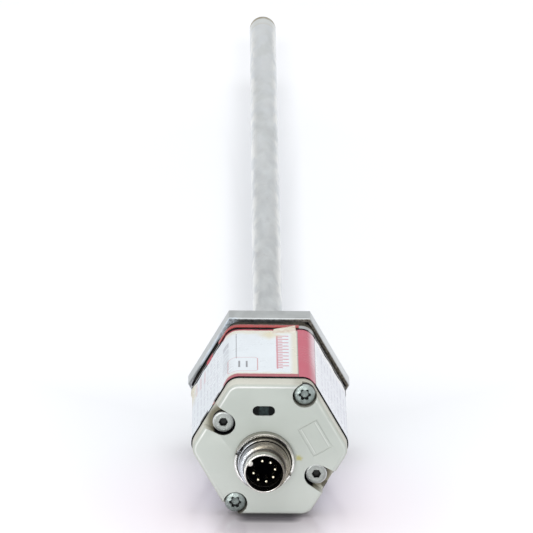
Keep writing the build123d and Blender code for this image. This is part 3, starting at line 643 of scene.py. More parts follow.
def turned_steel(name, colour, roughness, blotch, stain_share=0.0):
    """Satin steel turned round Y: fine rings, cloudy handling marks and, with a share, stains."""
    f = Finish(name, colour, roughness, metallic=1.0)
    rings = f.noise(f.place((0.15, 6.0, 0.15)), 1.0, 4.0)
    clouds = f.noise(f.place((1.0, 0.35, 1.0)), 0.22, 5.0, 0.6)
    fine = f.noise(f.place((3.0, 0.3, 3.0)), 1.2, 3.0)
    shade = f.sum("ADD", f.sum("MULTIPLY", clouds, 0.7), f.sum("MULTIPLY", rings, 0.3))
    paint = f.tone(colour, f.spread(shade), 1 - blotch, 1 + blotch)
    if stain_share:
        marks = f.step(f.noise(f.place((1.0, 0.5, 1.0)), 0.35, 4.0, 1.0), 0.62, 0.75, 0.0, stain_share)
        paint = f.coat(paint, (0.34, 0.31, 0.27), marks)
    f.put("Base Color", paint)
    rough = f.sum("ADD", f.sum("MULTIPLY", clouds, 0.22), f.sum("MULTIPLY", fine, 0.08))
    f.put("Roughness", f.sum("ADD", rough, roughness - 0.14))
    f.bump(f.sum("ADD", rings, f.sum("MULTIPLY", fine, 0.4)), 0.012, 0.5)
    return f


def flange_finish(colours):
    """Satin flange whose near face is darkened as painted shade: grainy and darker above with dirt and
    painted shade, pale at the upper left as a painted reflection, and brown with dirt on the right, darker
    there as painted shade.

    Beside the thick seal the near face is painted black as shade, and the flange's right side is paler
    than the rest.
    """
    f = turned_steel("flange_satin", plain(colours.steel), 0.34, 0.1)
    x, y, z = f.axes(f.place())
    face = FLANGE_LOW[1]
    near = f.step(y, face + 0.3, face + 0.05)
    grain = f.step(f.noise(f.place(), 1.3, 4.0, 0.4), 0.35, 0.65, 0.25, 1.0)
    cloud = f.step(f.noise(f.place(), 0.4, 4.0, 0.4), 0.3, 0.65, 0.25, 0.75)
    pale = f.both(f.step(y, face + 0.9, face + 0.45), f.step(x, -9.5, -12.0), f.step(z, 4.0, 9.0))
    right = f.both(near, f.step(x, 1.0, 15.0))
    # Painted shade on the near face, a painted reflection at the upper left, dirt darkened as painted shade
    # in the grain above and brown dirt darkened as painted shade on the right
    paint = f.coat(f.paint(), (0.20, 0.21, 0.22), near, 0.75)
    paint = f.coat(paint, (0.76, 0.86, 0.96), pale, cloud)
    paint = f.coat(paint, (0.12, 0.125, 0.13), near, f.step(z, 19.0, 21.0), grain, 0.8)
    paint = f.coat(paint, f.mix(grain, (0.34, 0.31, 0.27), (0.11, 0.095, 0.075)), right)

    # Black painted shade in the gap round the seal: a place's apothem is the largest of its distances along
    # the hexagon's three normals, and the painted gap is narrower low down and on the right
    wide, tall = f.sum("ABSOLUTE", x), f.sum("ABSOLUTE", z)
    apothem = f.either(tall, f.sum("MULTIPLY_ADD", wide, COS_30, f.sum("MULTIPLY", tall, 0.5)))
    narrower = f.either(f.step(z, 4.0, 0.0, 0.0, 0.3), f.step(x, -5.0, 5.0, 0.0, 0.35))
    stretch = f.either(f.step(z, 18.0, 14.0), f.step(x, -1.0, 1.0))
    gap = f.both(near, stretch, f.step(f.sum("ADD", apothem, narrower), 22.5, 22.1),
                 f.step(wide, 10.0, 12.5))
    paint = f.coat(paint, SHADE_BLACK, gap)
    beyond = f.sum("SUBTRACT", 1.0, near)
    f.put("Base Color", f.coat(paint, (0.86, 0.88, 0.89), f.step(x, 12.0, 19.0), beyond, 0.5))
    dull = f.either(gap, f.sum("MULTIPLY", right, 0.7), f.sum("MULTIPLY", pale, 0.9))
    f.put("Metallic", f.sum("SUBTRACT", 1.0, dull))
    f.put("Specular IOR Level", 0.0)
    return f.material


def rod_finish(colours):
    """Drawn stainless, lighter towards its end, with pale patches on its sides as a painted sheen
    and grey ones far off.
    """
    f = turned_steel("rod_stainless", plain(colours.steel), 0.36, 0.22, 0.3)
    x, y, _ = f.axes(f.place())
    paint = f.coat(f.paint(), (0.88, 0.92, 0.95), f.step(y, -60.0, 420.0, 0.25, 0.8))
    grey = f.step(f.noise(f.place((1.0, 0.4, 1.0)), 0.16, 2.0), 0.42, 0.70, 0.0, 0.3)
    paint = f.coat(paint, (0.50, 0.53, 0.50), grey, f.step(y, 150.0, 300.0))
    # Pale patches on the sides: a painted sheen in blotches
    patch = f.step(f.noise(f.place((1.0, 0.25, 1.0)), 0.35, 2.0, 0.1), 0.36, 0.64)
    side = f.step(f.sum("ABSOLUTE", x), 2.2, 4.6, 0.15, 0.9)
    f.put("Base Color", f.coat(paint, (0.96, 0.97, 0.95), patch, side))
    return f.material


def weld_finish(colours):
    """Pale plug steel with a faint brown seam and an olive ring on its rounded end."""
    f = turned_steel("weld_steel", plain(colours.steel), 0.36, 0.12)
    y = f.axes(f.place())[1]
    end = PLUG_HIGH[1]
    seam = end - SEAM_TO_END
    heat = f.between(y, seam - 1.2, seam + 1.6, 1.0)
    ring = f.between(y, end - 4.6, end - 0.7, 0.9)
    patch = f.step(f.noise(f.place(), 0.5, 3.0), 0.3, 0.6, 0.6, 1.0)
    paint = f.mix(0.75, f.paint(), (0.90, 0.93, 0.92))
    paint = f.coat(paint, (0.42, 0.27, 0.11), heat, 0.08)
    f.put("Base Color", f.coat(paint, (0.42, 0.37, 0.25), ring, patch))
    return f.material


def rubber(name, colour, grain=1.4):
    """Matte rubber with pale dust in its grain."""
    f = Finish(name, colour, 0.62, specular=0.04)
    specks = f.step(f.noise(f.place(), grain, 5.0, 0.4), 0.55, 0.8, 0.0, 0.15)
    f.put("Base Color", f.mix(specks, colour, DUST))
    f.bump(f.noise(f.place(), 5.0, 4.0), 0.03, 0.6)
    return f


def rubber_finish(name, colour, grain=1.4):
    """Matte rubber whose sheen varies in clouds."""
    f = rubber(name, colour, grain)
    f.put("Roughness", f.spread(f.noise(f.place(), 0.4, 3.0), 0.45, 0.75))
    return f.material


def front_gasket_finish():
    """Thin black gasket with a pink scrap of the label over it at the upper left."""
    f = rubber("front_gasket_rubber", SEAL_BLACK)
    x, _, z = f.axes(f.place())
    scrap = f.both(f.between(x, -20.0, -17.8, 0.2), f.step(z, 0.0, 1.0), 0.85)
    f.put("Base Color", f.coat(f.paint(), (0.62, 0.38, 0.38), scrap))
    return f.material


def gasket_finish():
    """Thick seal: black, browned and grainy on the right."""
    f = Finish("gasket_rubber", (0.014, 0.014, 0.016), 0.6, specular=0.05)
    x = f.axes(f.place())[0]
    grain = f.step(f.noise(f.place((1.0, 2.0, 1.0)), 0.9, 6.0, 0.8), 0.42, 0.66)
    right = f.step(x, 4.0, 16.0, 0.25, 0.75)
    f.put("Base Color", f.mix(f.both(grain, right), (0.026, 0.025, 0.023), (0.24, 0.21, 0.15)))
    f.bump(f.noise(f.place(), 3.0, 5.0), 0.06, 0.7)
    return f.material


def plate_finish():
    """Cast plate: bare metal above and below, its side edges painted black as shade with one bare light
    line left in them.

    A scrap of the red film is left on the left side, below the film's end.
    """
    bare = (0.60, 0.61, 0.61)
    f = Finish("plate_aluminium", bare, 0.4, metallic=1.0)
    x, y, z = f.axes(f.place())
    cloud = f.noise(f.place(), 0.5, 4.0, 0.5)
    # Side edges painted black as shade, except one bare line
    sides = f.either(f.step(x, 13.6, 14.8), f.step(x, -13.6, -14.8))
    line = f.both(f.between(y, PLATE_LOW[1] + 1.4, PLATE_LOW[1] + 2.3, 0.15), 0.75)
    black = f.both(sides, f.sum("SUBTRACT", 1.0, line))
    scrap = f.both(f.between(x, -20.4, -18.5, 0.2), f.step(z, 0.0, 1.0),
                   f.step(f.noise(f.place(), 0.8, 3.0), 0.25, 0.35))
    paint = f.coat(f.tone(bare, f.spread(cloud), 0.86, 1.1), SHADE_BLACK, black)
    f.put("Base Color", f.coat(paint, (0.58, 0.16, 0.19), scrap))
    f.put("Metallic", f.sum("SUBTRACT", 1.0, f.either(black, scrap)))
    f.put("Specular IOR Level", 0.0)
    f.put("Roughness", f.spread(cloud, 0.34, 0.5))
    f.bump(f.noise(f.place(), 4.0, 3.0), 0.01, 0.5)
    return f.material


def panel_lines(f, paint, x, y, z, front):
    """The framed panel on the lid: painted shade in its groove, and a dark line of painted shade and a
    light line of painted highlight inside it, standing in for its relief.
    """
    groove = f.both(f.step(y, FACE_Y + 0.08, FACE_Y + 0.16), f.step(y, FACE_Y + 0.3, FACE_Y + 0.22),
                    f.between(x, 5.0, 19.0), f.between(z, -2.5, 11.0))
    paint = f.coat(paint, GROOVE_SHADE, groove, 0.35)
    along, _, across = f.axes(f.place(turn=(0.0, PANEL_TURN, 0.0)))
    middle_along, middle_across = polar(PANEL_X, -PANEL_TURN) + polar(PANEL_Z, 90.0 - PANEL_TURN)
    from_middle = f.offset(across, middle_across)
    within = f.step(f.offset(along, middle_along), PANEL_L / 2 - 0.6, PANEL_L / 2 - 0.8)
    edge = PANEL_W / 2 - 1.5
    for start, colour in ((edge, GROOVE_SHADE), (edge + 0.35, HIGHLIGHT_WHITE)):
        paint = f.coat(paint, colour, f.between(from_middle, start, start + 0.25), within, front, 0.3)
    return paint


def pocket_dirt_and_shade(f, paint, x, y, z):
    """The paint with brown dirt in the four pockets, darker there as painted shade, their inner walls
    painted black as shade, and those walls' mask.

    Each pair of pockets has a reach and angle, the dirt's share, how far out its inner wall lies, and
    the wall's distance from the screw's axis.
    """
    deep = f.step(y, FACE_Y + 0.3, FACE_Y + 1.0)
    middle = f.radius(x, z)
    walls = []
    for reach, angle, share, limit, wall in ((LONG_SCREW_R, LONG_SCREW_ANGLE, 0.9, 18.3, 4.35),
                                             (CORNER_SCREW_R, CORNER_SCREW_ANGLE, 0.35, 22.4, 4.0)):
        away = f.from_pair(reach, angle)
        paint = f.coat(paint, (0.19, 0.175, 0.11), deep, f.step(away, 6.2, 4.0), share)
        # Inner walls painted black as shade
        shade = f.both(deep, f.step(middle, limit + 1.2, limit), f.step(away, wall, wall - 0.25))
        paint = f.coat(paint, (0.006, 0.006, 0.007), shade)
        walls.append(shade)
    for place, reach in POCKET_SPOTS:
        ragged = f.frayed(f.apart(x, z, place), 1.4, 0.8)
        paint = f.coat(paint, (0.07, 0.06, 0.03), deep, f.step(ragged, reach, reach - 0.5, 0.0, 0.85))
    return paint, f.either(*walls)


def lid_finish(colours):
    """Pale cast lid: smooth enamel, creamy on its side, a painted highlight round its face, painted shade
    at its foot, and dirt and painted shade in its pockets.
    """
    pale = plain(colours.lid)
    f = Finish("lid_enamel", pale, 0.4, specular=0.4)
    x, y, z = f.axes(f.place())
    clouds = f.noise(f.place(), 0.09, 3.0, 0.4)
    side = f.step(y, FACE_Y + 0.2, FACE_Y + 1.4)
    front = f.step(y, FACE_Y + 0.3, FACE_Y + 0.1)
    worn = f.step(f.noise(f.place((1.0, 2.0, 1.0)), 0.8, 5.0, 1.0), 0.60, 0.78)
    paint = f.tone(pale, f.spread(clouds), 0.97, 1.03)
    # Painted light: lighter towards the bottom, making up for the lower face's shade
    paint = f.coat(paint, (0.80, 0.85, 0.80), f.step(z, 12.0, -22.0, 0.0, 0.4))
    paint = f.coat(paint, plain(colours.lid_edge), side, 0.8)
    paint = f.coat(paint, (0.34, 0.31, 0.24), side, worn, 0.5)

    # Painted highlight on the rounded edge, strongest at the upper left, painted shade at the foot above
    # the table, and a line of painted shade on the side
    line = f.both(f.between(y, FACE_Y + 0.03, FACE_Y + 0.2, 0.03), f.step(x, 16.0, -4.0, 0.2, 0.75),
                  f.step(z, -8.0, 2.0, 0.2, 1.0), f.step(f.noise(f.place(), 0.16, 3.0), 0.3, 0.6, 0.5, 1.0))
    paint = f.coat(paint, HIGHLIGHT_WHITE, line)
    foot = f.both(f.step(z, -20.6, -21.6), f.step(y, FACE_Y + 0.1, FACE_Y + 0.7))
    paint = f.coat(paint, (0.095, 0.088, 0.094), foot, 0.92)
    paint = f.coat(paint, (0.42, 0.42, 0.37), f.between(y, FACE_Y + 0.45, FACE_Y + 0.95, 0.1), 0.35)

    # One stain beside the connector and small specks
    stain = f.step(f.frayed(f.apart(x, z, STAIN_PLACE), 1.2, 1.6), 1.3, 2.3, 0.9, 0.0)
    paint = f.coat(paint, (0.46, 0.43, 0.15), stain, front)
    specks = f.step(f.noise(f.place(), 1.6, 3.0), 0.76, 0.82, 0.0, 0.35)
    paint = f.coat(paint, (0.36, 0.35, 0.29), specks)
    paint = panel_lines(f, paint, x, y, z, front)
    paint, walls = pocket_dirt_and_shade(f, paint, x, y, z)
    f.put("Base Color", paint)
    f.put("Specular IOR Level", f.sum("MULTIPLY_ADD", f.either(foot, walls), -0.4, 0.4))
    f.put("Roughness", f.spread(clouds, 0.34, 0.46))
    f.bump(f.noise(f.place(), 1.8, 4.0), 0.02, 0.5)
    return f.material


def screw_steel(name, colour):
    """Plated steel with light clouds and brown spots."""
    f = Finish(name, colour, 0.3, metallic=1.0)
    cloud = f.noise(f.place(), 0.8, 4.0, 0.5)
    spots = f.step(f.noise(f.place(), 2.1, 4.0), 0.6, 0.75, 0.0, 0.35)
    f.put("Base Color", f.coat(f.tone(colour, f.spread(cloud), 0.82, 1.12), (0.24, 0.22, 0.18), spots))
    f.put("Roughness", f.spread(cloud, 0.42, 0.6))
    f.bump(f.noise(f.place(), 3.0, 3.0), 0.01, 0.5)
    return f


def head_finish(name, colour, reach, angle, head_y, drive_r, middle=0.9, rim=0.85):
    """Screw steel with a painted highlight on its rim, a darker ring inside it, painted shade on the head's
    side in its pocket and a drive painted black as shade.

    The pair of screws lies at reach and angle and opposite, with its heads from head_y on. rim is the
    share of the rim's painted highlight, and middle the share of painted black in the middle of the drive.
    """
    f = screw_steel(name, colour)
    y = f.axes(f.place())[1]
    away, head_r = f.from_pair(reach, angle), SCREW_HEAD_R
    paint = f.coat(f.paint(), (0.72, 0.74, 0.74), f.step(away, head_r - 0.45, head_r - 0.2, 0.0, rim))
    paint = f.coat(paint, (0.20, 0.21, 0.21), f.between(away, head_r - 1.0, head_r - 0.6, 0.15), 0.3)
    # The head's side: painted shade
    side = f.both(f.step(y, head_y + 0.45, head_y + 0.75), f.step(away, head_r - 0.2, head_r - 0.05))
    paint = f.coat(paint, (0.05, 0.05, 0.05), side)
    # The drive: painted black as shade, lighter in its middle
    black = f.both(f.step(y, head_y + 0.12, head_y + 0.4), f.step(away, drive_r + 0.25, drive_r + 0.1),
                   f.step(away, drive_r * 0.45, drive_r * 0.72, middle, 0.99))
    f.put("Base Color", f.coat(paint, SHADE_BLACK, black))
    f.put("Metallic", f.sum("MULTIPLY_ADD", black, -0.98, 1.0))
    f.put("Specular IOR Level", 0.1)
    return f.material


def connector_gaps(f, x, y, z, away):
    """Mask of the connector's dark lines: shade painted into its gaps.

    They are the relief behind the thread, the sleeve's foot, the collar's edge, two arcs and two slots
    in the nut, and the nut's foot. The angles are degrees round the connector's axis.
    """
    turn = f.sum("MULTIPLY", f.sum("ARCTAN2", z, x), 180 / math.pi)
    near_nut = f.step(y, NUT_FRONT + 0.5, NUT_FRONT + 0.2)
    relief = f.both(f.between(y, RELIEF_END - 0.15, COLLAR_END + 0.1, 0.06), f.step(away, 8.2, 8.0))
    foot = f.both(f.between(y, THREAD_END - 0.75, THREAD_END + 0.05, 0.12), f.step(away, 7.0, 6.8), 0.8)
    collar = f.both(f.step(y, NUT_FRONT - 0.35, NUT_FRONT - 0.1), f.between(away, 8.2, 8.9, 0.08),
                    f.step(turn, 75.0, 95.0, 0.75, 0.35))
    arcs = f.either(f.both(f.between(turn, 38.0, 68.0, 3.0), f.between(away, 8.75, 9.25, 0.1)),
                    f.both(f.between(turn, 142.0, 158.0, 2.0), f.between(away, 8.3, 9.0, 0.1)))
    slots = f.both(f.either(f.between(turn, 160.0, 164.0, 0.8), f.between(turn, -28.0, -23.0, 0.8)),
                   f.step(away, 8.8, 8.9))
    nut_foot = f.both(f.step(y, FACE_Y - 0.45, FACE_Y - 0.2),
                      f.step(away, NUT_R - 0.15, NUT_R - 0.05), 0.85)
    return f.either(relief, foot, collar, f.both(arcs, near_nut), f.both(slots, near_nut), nut_foot)


def nickel_finish(colours):
    """Plated connector: painted highlights on its rims, a painted bluish reflection on its left, brown on
    its faces, painted shade on its right and top, and black painted shade in its gaps.
    """
    plate = plain(colours.nickel)
    f = Finish("connector_nickel", plate, 0.26, metallic=1.0)
    x, y, z = f.axes(f.place(shift=(-CONNECTOR_X, 0.0, -CONNECTOR_Z)))
    away = f.radius(x, z)
    cloud = f.noise(f.place(), 0.7, 4.0, 0.6)

    # Brown tarnish on the collar and the thread, heavier on the right as painted shade, darker above as
    # painted shade, and bluish on the left as a painted reflection
    inside = f.both(f.between(y, THREAD_END - 0.2, FACE_Y - 0.3, 0.2),
                    f.step(away, NUT_R - 0.25, NUT_R - 0.7))
    paint = f.tone(plate, f.spread(cloud), 0.9, 1.08)
    paint = f.coat(paint, (0.25, 0.225, 0.16), inside, f.step(x, -8.0, 2.0, 0.35, 1.0),
                   f.step(cloud, 0.25, 0.75, 0.55, 1.0))
    paint = f.coat(paint, (0.13, 0.12, 0.10), inside, f.step(z, 1.0, 7.0), 0.75)
    paint = f.coat(paint, (0.50, 0.55, 0.63), inside, f.step(x, -2.0, -7.0), 0.6)

    # The nut: its brown face, its rim's painted highlight, which is weaker above, and painted shade on its
    # upper side
    face = f.both(f.step(y, NUT_FRONT + 0.25, NUT_FRONT + 0.1), f.between(away, 8.5, NUT_R - 0.62, 0.1),
                  f.step(y, NUT_FRONT - 0.3, NUT_FRONT - 0.1))
    paint = f.coat(paint, (0.24, 0.22, 0.17), face, 0.7)
    near_nut = f.step(y, NUT_FRONT + 0.5, NUT_FRONT + 0.2)
    paint = f.coat(paint, (0.86, 0.88, 0.85), f.step(away, NUT_R - 0.75, NUT_R - 0.6), near_nut,
                   f.step(z, 5.0, -3.0, 0.1, 0.75))
    paint = f.coat(paint, (0.30, 0.29, 0.25), near_nut, f.step(away, NUT_R - 1.2, NUT_R - 0.9),
                   f.step(z, 1.0, 7.0), 0.5)
    paint = f.coat(paint, (0.27, 0.25, 0.20), f.step(away, NUT_R - 0.2, NUT_R - 0.05),
                   f.step(y, NUT_FRONT + 0.1, NUT_FRONT + 0.4), f.step(z, -2.0, 5.0), 0.65)

    # Painted shade on the sleeve's right side
    paint = f.coat(paint, (0.14, 0.12, 0.10), f.step(y, THREAD_END + 0.1, THREAD_END - 0.1),
                   f.step(x, 0.0, 6.0), 0.92)
    # Black painted shade in the gaps
    gaps = connector_gaps(f, x, y, z, away)
    f.put("Base Color", f.coat(paint, (0.012, 0.011, 0.010), gaps))
    f.put("Metallic", f.sum("MULTIPLY_ADD", gaps, -0.8, 1.0))
    dull = f.sum("MULTIPLY_ADD", inside, 0.1, 0.04)
    f.put("Roughness", f.sum("ADD", f.sum("MULTIPLY", cloud, 0.3), dull))
    f.bump(f.noise(f.place((0.2, 5.0, 0.2)), 1.0, 3.0), 0.01, 0.4)
    return f.material


def side_print(f, paint, s, y):
    """Bluish ground and rows of faint grey bars on the side flats, and red bars low on the left one."""
    paint = f.coat(paint, (0.86, 0.89, 0.95), f.between(s, 16.0, 36.0, 0.3))
    seed = f.sum("ADD", f.count(y, 1.3), f.sum("MULTIPLY", f.count(s, ROW_PITCH), 37.0))
    sides = f.either(f.between(s, 19.0, 38.0), f.between(s, -35.0, -18.5), f.step(s, -44.0, -44.1))
    paint = f.coat(paint, (0.40, 0.39, 0.50), f.between(f.phase(s, ROW_PITCH), 0.25, 0.6, 0.12),
                   f.step(f.chance(seed), 0.3, 0.34), sides,
                   f.between(y, LABEL_FRONT + 4.5, LABEL_REAR - 4.0), 0.34)
    return f.coat(paint, (0.66, 0.30, 0.33), f.between(s, -34.2, -27.8, 0.3),
                  f.between(y, -31.5, -20.0, 0.4), f.between(f.phase(s, 2.7), 0.3, 0.75, 0.15), 0.4)


def corner_print(f, paint, s, y):
    """Thin dark rule and small grey bars at the left corner; the bars are darker at the rear."""
    rule = f.both(f.between(s, -11.05, -10.8, 0.06), f.between(y, -46.9, LABEL_REAR - 4.6))
    paint = f.coat(paint, (0.10, 0.10, 0.12), rule, 0.7)
    bar = f.both(f.between(f.phase(y, BAR_PITCH), 0.15, 0.75, 0.1),
                 f.step(f.chance(f.count(y, BAR_PITCH)), 0.2, 0.25))
    darker = f.step(y, LABEL_REAR - 17.0, LABEL_REAR - 12.0, 0.42, 0.75)
    return f.coat(paint, (0.22, 0.23, 0.28), f.between(s, -16.6, -13.6, 0.15),
                  f.between(y, -56.5, -25.4), bar, darker)


def scale_print(f, paint, s, y):
    """Red scale of plain ticks, every second one long, along a red rule."""
    from_front = f.sum("SUBTRACT", y, LABEL_FRONT)
    tick = f.between(f.phase(from_front, TICK_PITCH), 0.22, 0.70, 0.1)
    long_one = f.step(f.phase(f.count(from_front, TICK_PITCH), 2.0), 0.3, 0.2)
    reach = f.sum("MULTIPLY_ADD", long_one, 2.0, 4.1)
    ticks = f.both(tick, f.step(s, 2.0, 2.2), f.step(f.sum("SUBTRACT", reach, s), 0.0, 0.2))
    scale = f.either(ticks, f.between(s, 2.0, 2.5, 0.08))
    return f.coat(paint, (0.58, 0.09, 0.14), scale, f.between(y, -57.0, -24.0), 0.75)


def field_print(f, paint, s, y):
    """Plain framed field with two bars: its frame lies at one distance from a box inside it."""
    from_y = f.offset(y, -52.6)
    beyond = f.radius(f.sum("MAXIMUM", f.sum("SUBTRACT", f.offset(s, -9.0), 3.4), 0.0),
                      f.sum("MAXIMUM", f.sum("SUBTRACT", from_y, 5.2), 0.0))
    paint = f.coat(paint, (0.55, 0.16, 0.17), f.between(beyond, 1.35, 1.65, 0.08), 0.75)
    return f.coat(paint, (0.12, 0.12, 0.14), f.step(from_y, 3.2, 3.0),
                  f.between(f.offset(s, -8.8), 0.9, 1.5), 0.8)


def label_yellowing(f, paint, where, s, y):
    """Yellowed borders and left corner with ragged limits, and one larger stain at the rear."""
    ragged = f.sum("MULTIPLY", f.noise(where, 0.35, 5.0, 0.8), 3.0)
    from_rear = f.sum("SUBTRACT", LABEL_REAR - 3.0, y)
    from_front = f.sum("SUBTRACT", y, LABEL_FRONT + 3.2)
    near_rear = f.step(f.sum("ADD", from_rear, ragged), 0.8, 4.5, 1.0, 0.0)
    near_front = f.step(f.sum("ADD", from_front, ragged), 0.8, 3.6, 1.0, 0.0)
    left_corner = f.step(f.sum("ADD", f.offset(s, -37.7), ragged), 3.0, 6.5, 1.0, 0.0)
    top_flat = f.between(s, -15.0, 16.0, 1.0)
    yellow = f.either(f.both(near_rear, top_flat, 0.55), f.both(near_front, top_flat, 0.65),
                      f.both(left_corner, f.step(y, LABEL_REAR - 22.0, LABEL_REAR - 6.0), 0.85),
                      f.both(f.between(s, 6.8, 9.3, 1.0), 0.6))
    paint = f.coat(paint, (0.72, 0.66, 0.45), yellow)
    spot = f.sum("ADD", f.offset(s, -0.2), f.offset(y, -23.6))
    return f.coat(paint, (0.70, 0.60, 0.32), f.step(f.sum("ADD", spot, ragged), 1.5, 8.0, 0.65, 0.0))


def label_borders(f, paint, red, s, y):
    """Red borders, the red band on the right, paler on its corner towards the rear, its dark line, white
    lines painted as edge highlights, and painted shade along the front edge on the left flats.
    """
    front_border = f.both(f.step(y, LABEL_FRONT + 3.0, LABEL_FRONT + 2.7), f.between(s, -16.5, 10.0, 0.8))
    rear_border = f.both(f.step(y, LABEL_REAR - 1.3, LABEL_REAR - 1.1), f.between(s, -17.0, 10.0, 0.5))
    border = f.either(front_border, rear_border)
    paint = f.coat(paint, (0.42, 0.085, 0.115), border)
    fade = f.both(f.step(s, 11.9, 14.6), f.step(y, LABEL_FRONT + 4.0, LABEL_REAR - 16.0, 0.3, 0.85))
    paint = f.coat(paint, f.mix(fade, red, (0.80, 0.60, 0.67)), f.between(s, 9.0, 15.35, 0.08))
    paint = f.coat(paint, (0.22, 0.14, 0.20), f.between(s, 15.25, 15.6, 0.1), 0.75)
    # White lines painted as highlights along the foil's edges
    rear_edge_highlight = f.both(f.between(s, 15.8, 38.0, 0.1), f.step(y, LABEL_REAR - 3.9, LABEL_REAR - 3.4))
    paint = f.coat(paint, (0.97, 0.97, 0.98), f.either(f.between(s, 15.8, 16.5, 0.1), rear_edge_highlight), 0.95)
    # Painted shade along the front edge on the left flats, next to the lid's joint
    joint_shade = f.either(f.between(s, -22.6, -19.0, 0.4), f.between(s, -31.0, -26.2, 0.4))
    front_edge = f.step(y, LABEL_FRONT + 2.4, LABEL_FRONT + 1.8)
    paint = f.coat(paint, (0.02, 0.02, 0.025), front_edge, joint_shade, 0.92)
    return f.coat(paint, (0.16, 0.12, 0.12), f.between(s, 8.7, 9.05, 0.08), 0.6)


def label_finish(colours):
    """Printed foil: white ground, red borders and side band, plain bars in grey and red, yellowed edges.

    The print map holds the arc length s from the middle of the top flat and the place y along the
    sensor, in mm.
    """
    paper = plain(colours.paper)
    f = Finish("label_print", paper, 0.32, specular=0.45)
    where = f.node("ShaderNodeUVMap", uv_map="print").outputs[0]
    s, y, _ = f.axes(where)
    cloud = f.noise(where, 0.08, 4.0, 0.4)
    paint = f.tone(paper, f.spread(cloud), 0.97, 1.02)
    for printed in (side_print, corner_print, scale_print, field_print):
        paint = printed(f, paint, s, y)
    paint = label_yellowing(f, paint, where, s, y)
    paint = label_borders(f, paint, plain(colours.red), s, y)
    worn = f.step(f.noise(where, 0.9, 5.0, 1.2), 0.68, 0.76)
    edge = f.either(f.step(y, LABEL_REAR - 1.2, LABEL_REAR - 0.2),
                    f.step(y, LABEL_FRONT + 1.2, LABEL_FRONT + 0.2))
    f.put("Base Color", f.coat(paint, (0.70, 0.66, 0.58), worn, edge))
    f.put("Roughness", f.spread(cloud, 0.24, 0.36))
    f.bump(f.noise(where, 0.25, 3.0), 0.06, 0.5)
    return f.material


def film_finish(colours):
    """Red film, scuffed black and grey along its rear edge."""
    red = plain(colours.film)
    f = Finish("film_red", red, 0.34, specular=0.5)
    where = f.node("ShaderNodeUVMap", uv_map="print").outputs[0]
    y = f.axes(where)[1]
    grain = f.noise(where, 1.3, 6.0, 1.0)
    rear = f.step(y, FILM_HIGH[1] - 1.3, FILM_HIGH[1] - 0.1)
    scuff = f.step(f.sum("ADD", grain, f.sum("MULTIPLY", rear, 0.3)), 0.72, 0.84)
    f.put("Base Color", f.coat(f.tone(red, f.spread(grain), 0.8, 1.2), (0.10, 0.08, 0.07), scuff))
    f.put("Roughness", f.spread(grain, 0.25, 0.5))
    f.bump(grain, 0.03, 0.5)
    return f.material


def flap_finish():
    """Peeled, yellowed label stock with a pinkish painted shade in a band along its fold and brown ends.

    Its print map runs from 0 to 1: u along the fold and v from the fold to the free edge.
    """
    f = Finish("flap_stock", (0.72, 0.68, 0.56), 0.5, specular=0.35)
    u, v, _ = f.axes(f.node("ShaderNodeUVMap", uv_map="print").outputs[0])
    cloud = f.noise(f.place(), 0.5, 5.0, 0.8)
    paint = f.mix(f.step(cloud, 0.35, 0.65), (0.78, 0.75, 0.68), (0.66, 0.61, 0.50))
    # Pinkish painted shade in a band along the fold
    fold = f.between(f.sum("ADD", v, f.sum("MULTIPLY", cloud, 0.2)), 0.45, 0.62, 0.1)
    paint = f.coat(paint, (0.60, 0.36, 0.34), fold, 0.35)
    ends = f.either(f.step(v, 0.9, 0.99), f.step(u, 0.94, 1.0))
    f.put("Base Color", f.coat(paint, (0.40, 0.31, 0.22), ends, 0.45))
    f.bump(cloud, 0.08, 0.6)
    return f.material


def window_finish():
    """Nearly black light guide, glossy, with a greener middle where the lamps lie."""
    f = Finish("window_dark", (0.002, 0.003, 0.003), 0.16, specular=0.12)
    x = f.axes(f.place())[0]
    cloud = f.spread(f.noise(f.place(), 1.2, 3.0), 0.3, 1.0)
    middle = f.both(f.between(x, -3.6, -0.5, 0.3), cloud)
    f.put("Base Color", f.mix(middle, (0.001, 0.002, 0.002), (0.026, 0.041, 0.040)))
    f.put("Roughness", f.spread(f.noise(f.place(), 2.0, 3.0), 0.08, 0.2))
    return f.material


def plain_metal(name, colour, roughness=0.35, scale=1.0):
    """Machined metal with light clouds and fine grain."""
    f = Finish(name, colour, roughness, metallic=1.0)
    cloud = f.noise(f.place(), 0.5 * scale, 4.0, 0.5)
    f.put("Base Color", f.tone(colour, f.spread(cloud), 0.86, 1.1))
    f.put("Roughness", f.spread(cloud, roughness - 0.07, roughness + 0.1))
    f.bump(f.noise(f.place(), 4.0 * scale, 3.0), 0.01, 0.5)
    return f.material


def plain_plastic(name, colour, roughness=0.45, grain=3.0, specular=0.45):
    """Moulded plastic with a fine texture."""
    f = Finish(name, colour, roughness, specular=specular)
    cloud = f.noise(f.place(), 0.4, 4.0)
    f.put("Base Color", f.tone(colour, f.spread(cloud), 0.85, 1.12))
    f.put("Roughness", f.spread(cloud, roughness - 0.06, roughness + 0.1))
    f.bump(f.noise(f.place(), grain, 4.0), 0.015, 0.6)
    return f.material


def board_finish():
    """Green board with copper tracks under its mask and rows of small pads."""
    f = Finish("board_green", (0.02, 0.16, 0.07), 0.3, specular=0.5)
    x, y, _ = f.axes(f.place())
    track = f.both(f.between(f.phase(x, 1.3), 0.35, 0.6, 0.05),
                   f.step(f.chance(f.count(y, 4.0)), 0.25, 0.3))
    paint = f.mix(f.sum("MULTIPLY", track, 0.5), (0.016, 0.13, 0.06), (0.05, 0.27, 0.10))
    pad = f.both(f.between(f.phase(x, 2.6), 0.3, 0.55, 0.04), f.between(f.phase(y, 5.2), 0.4, 0.55, 0.03))
    f.put("Base Color", f.coat(paint, (0.62, 0.60, 0.52), pad))
    f.put("Metallic", pad)
    f.bump(f.sum("ADD", track, pad), 0.03, 0.5)
    return f.material


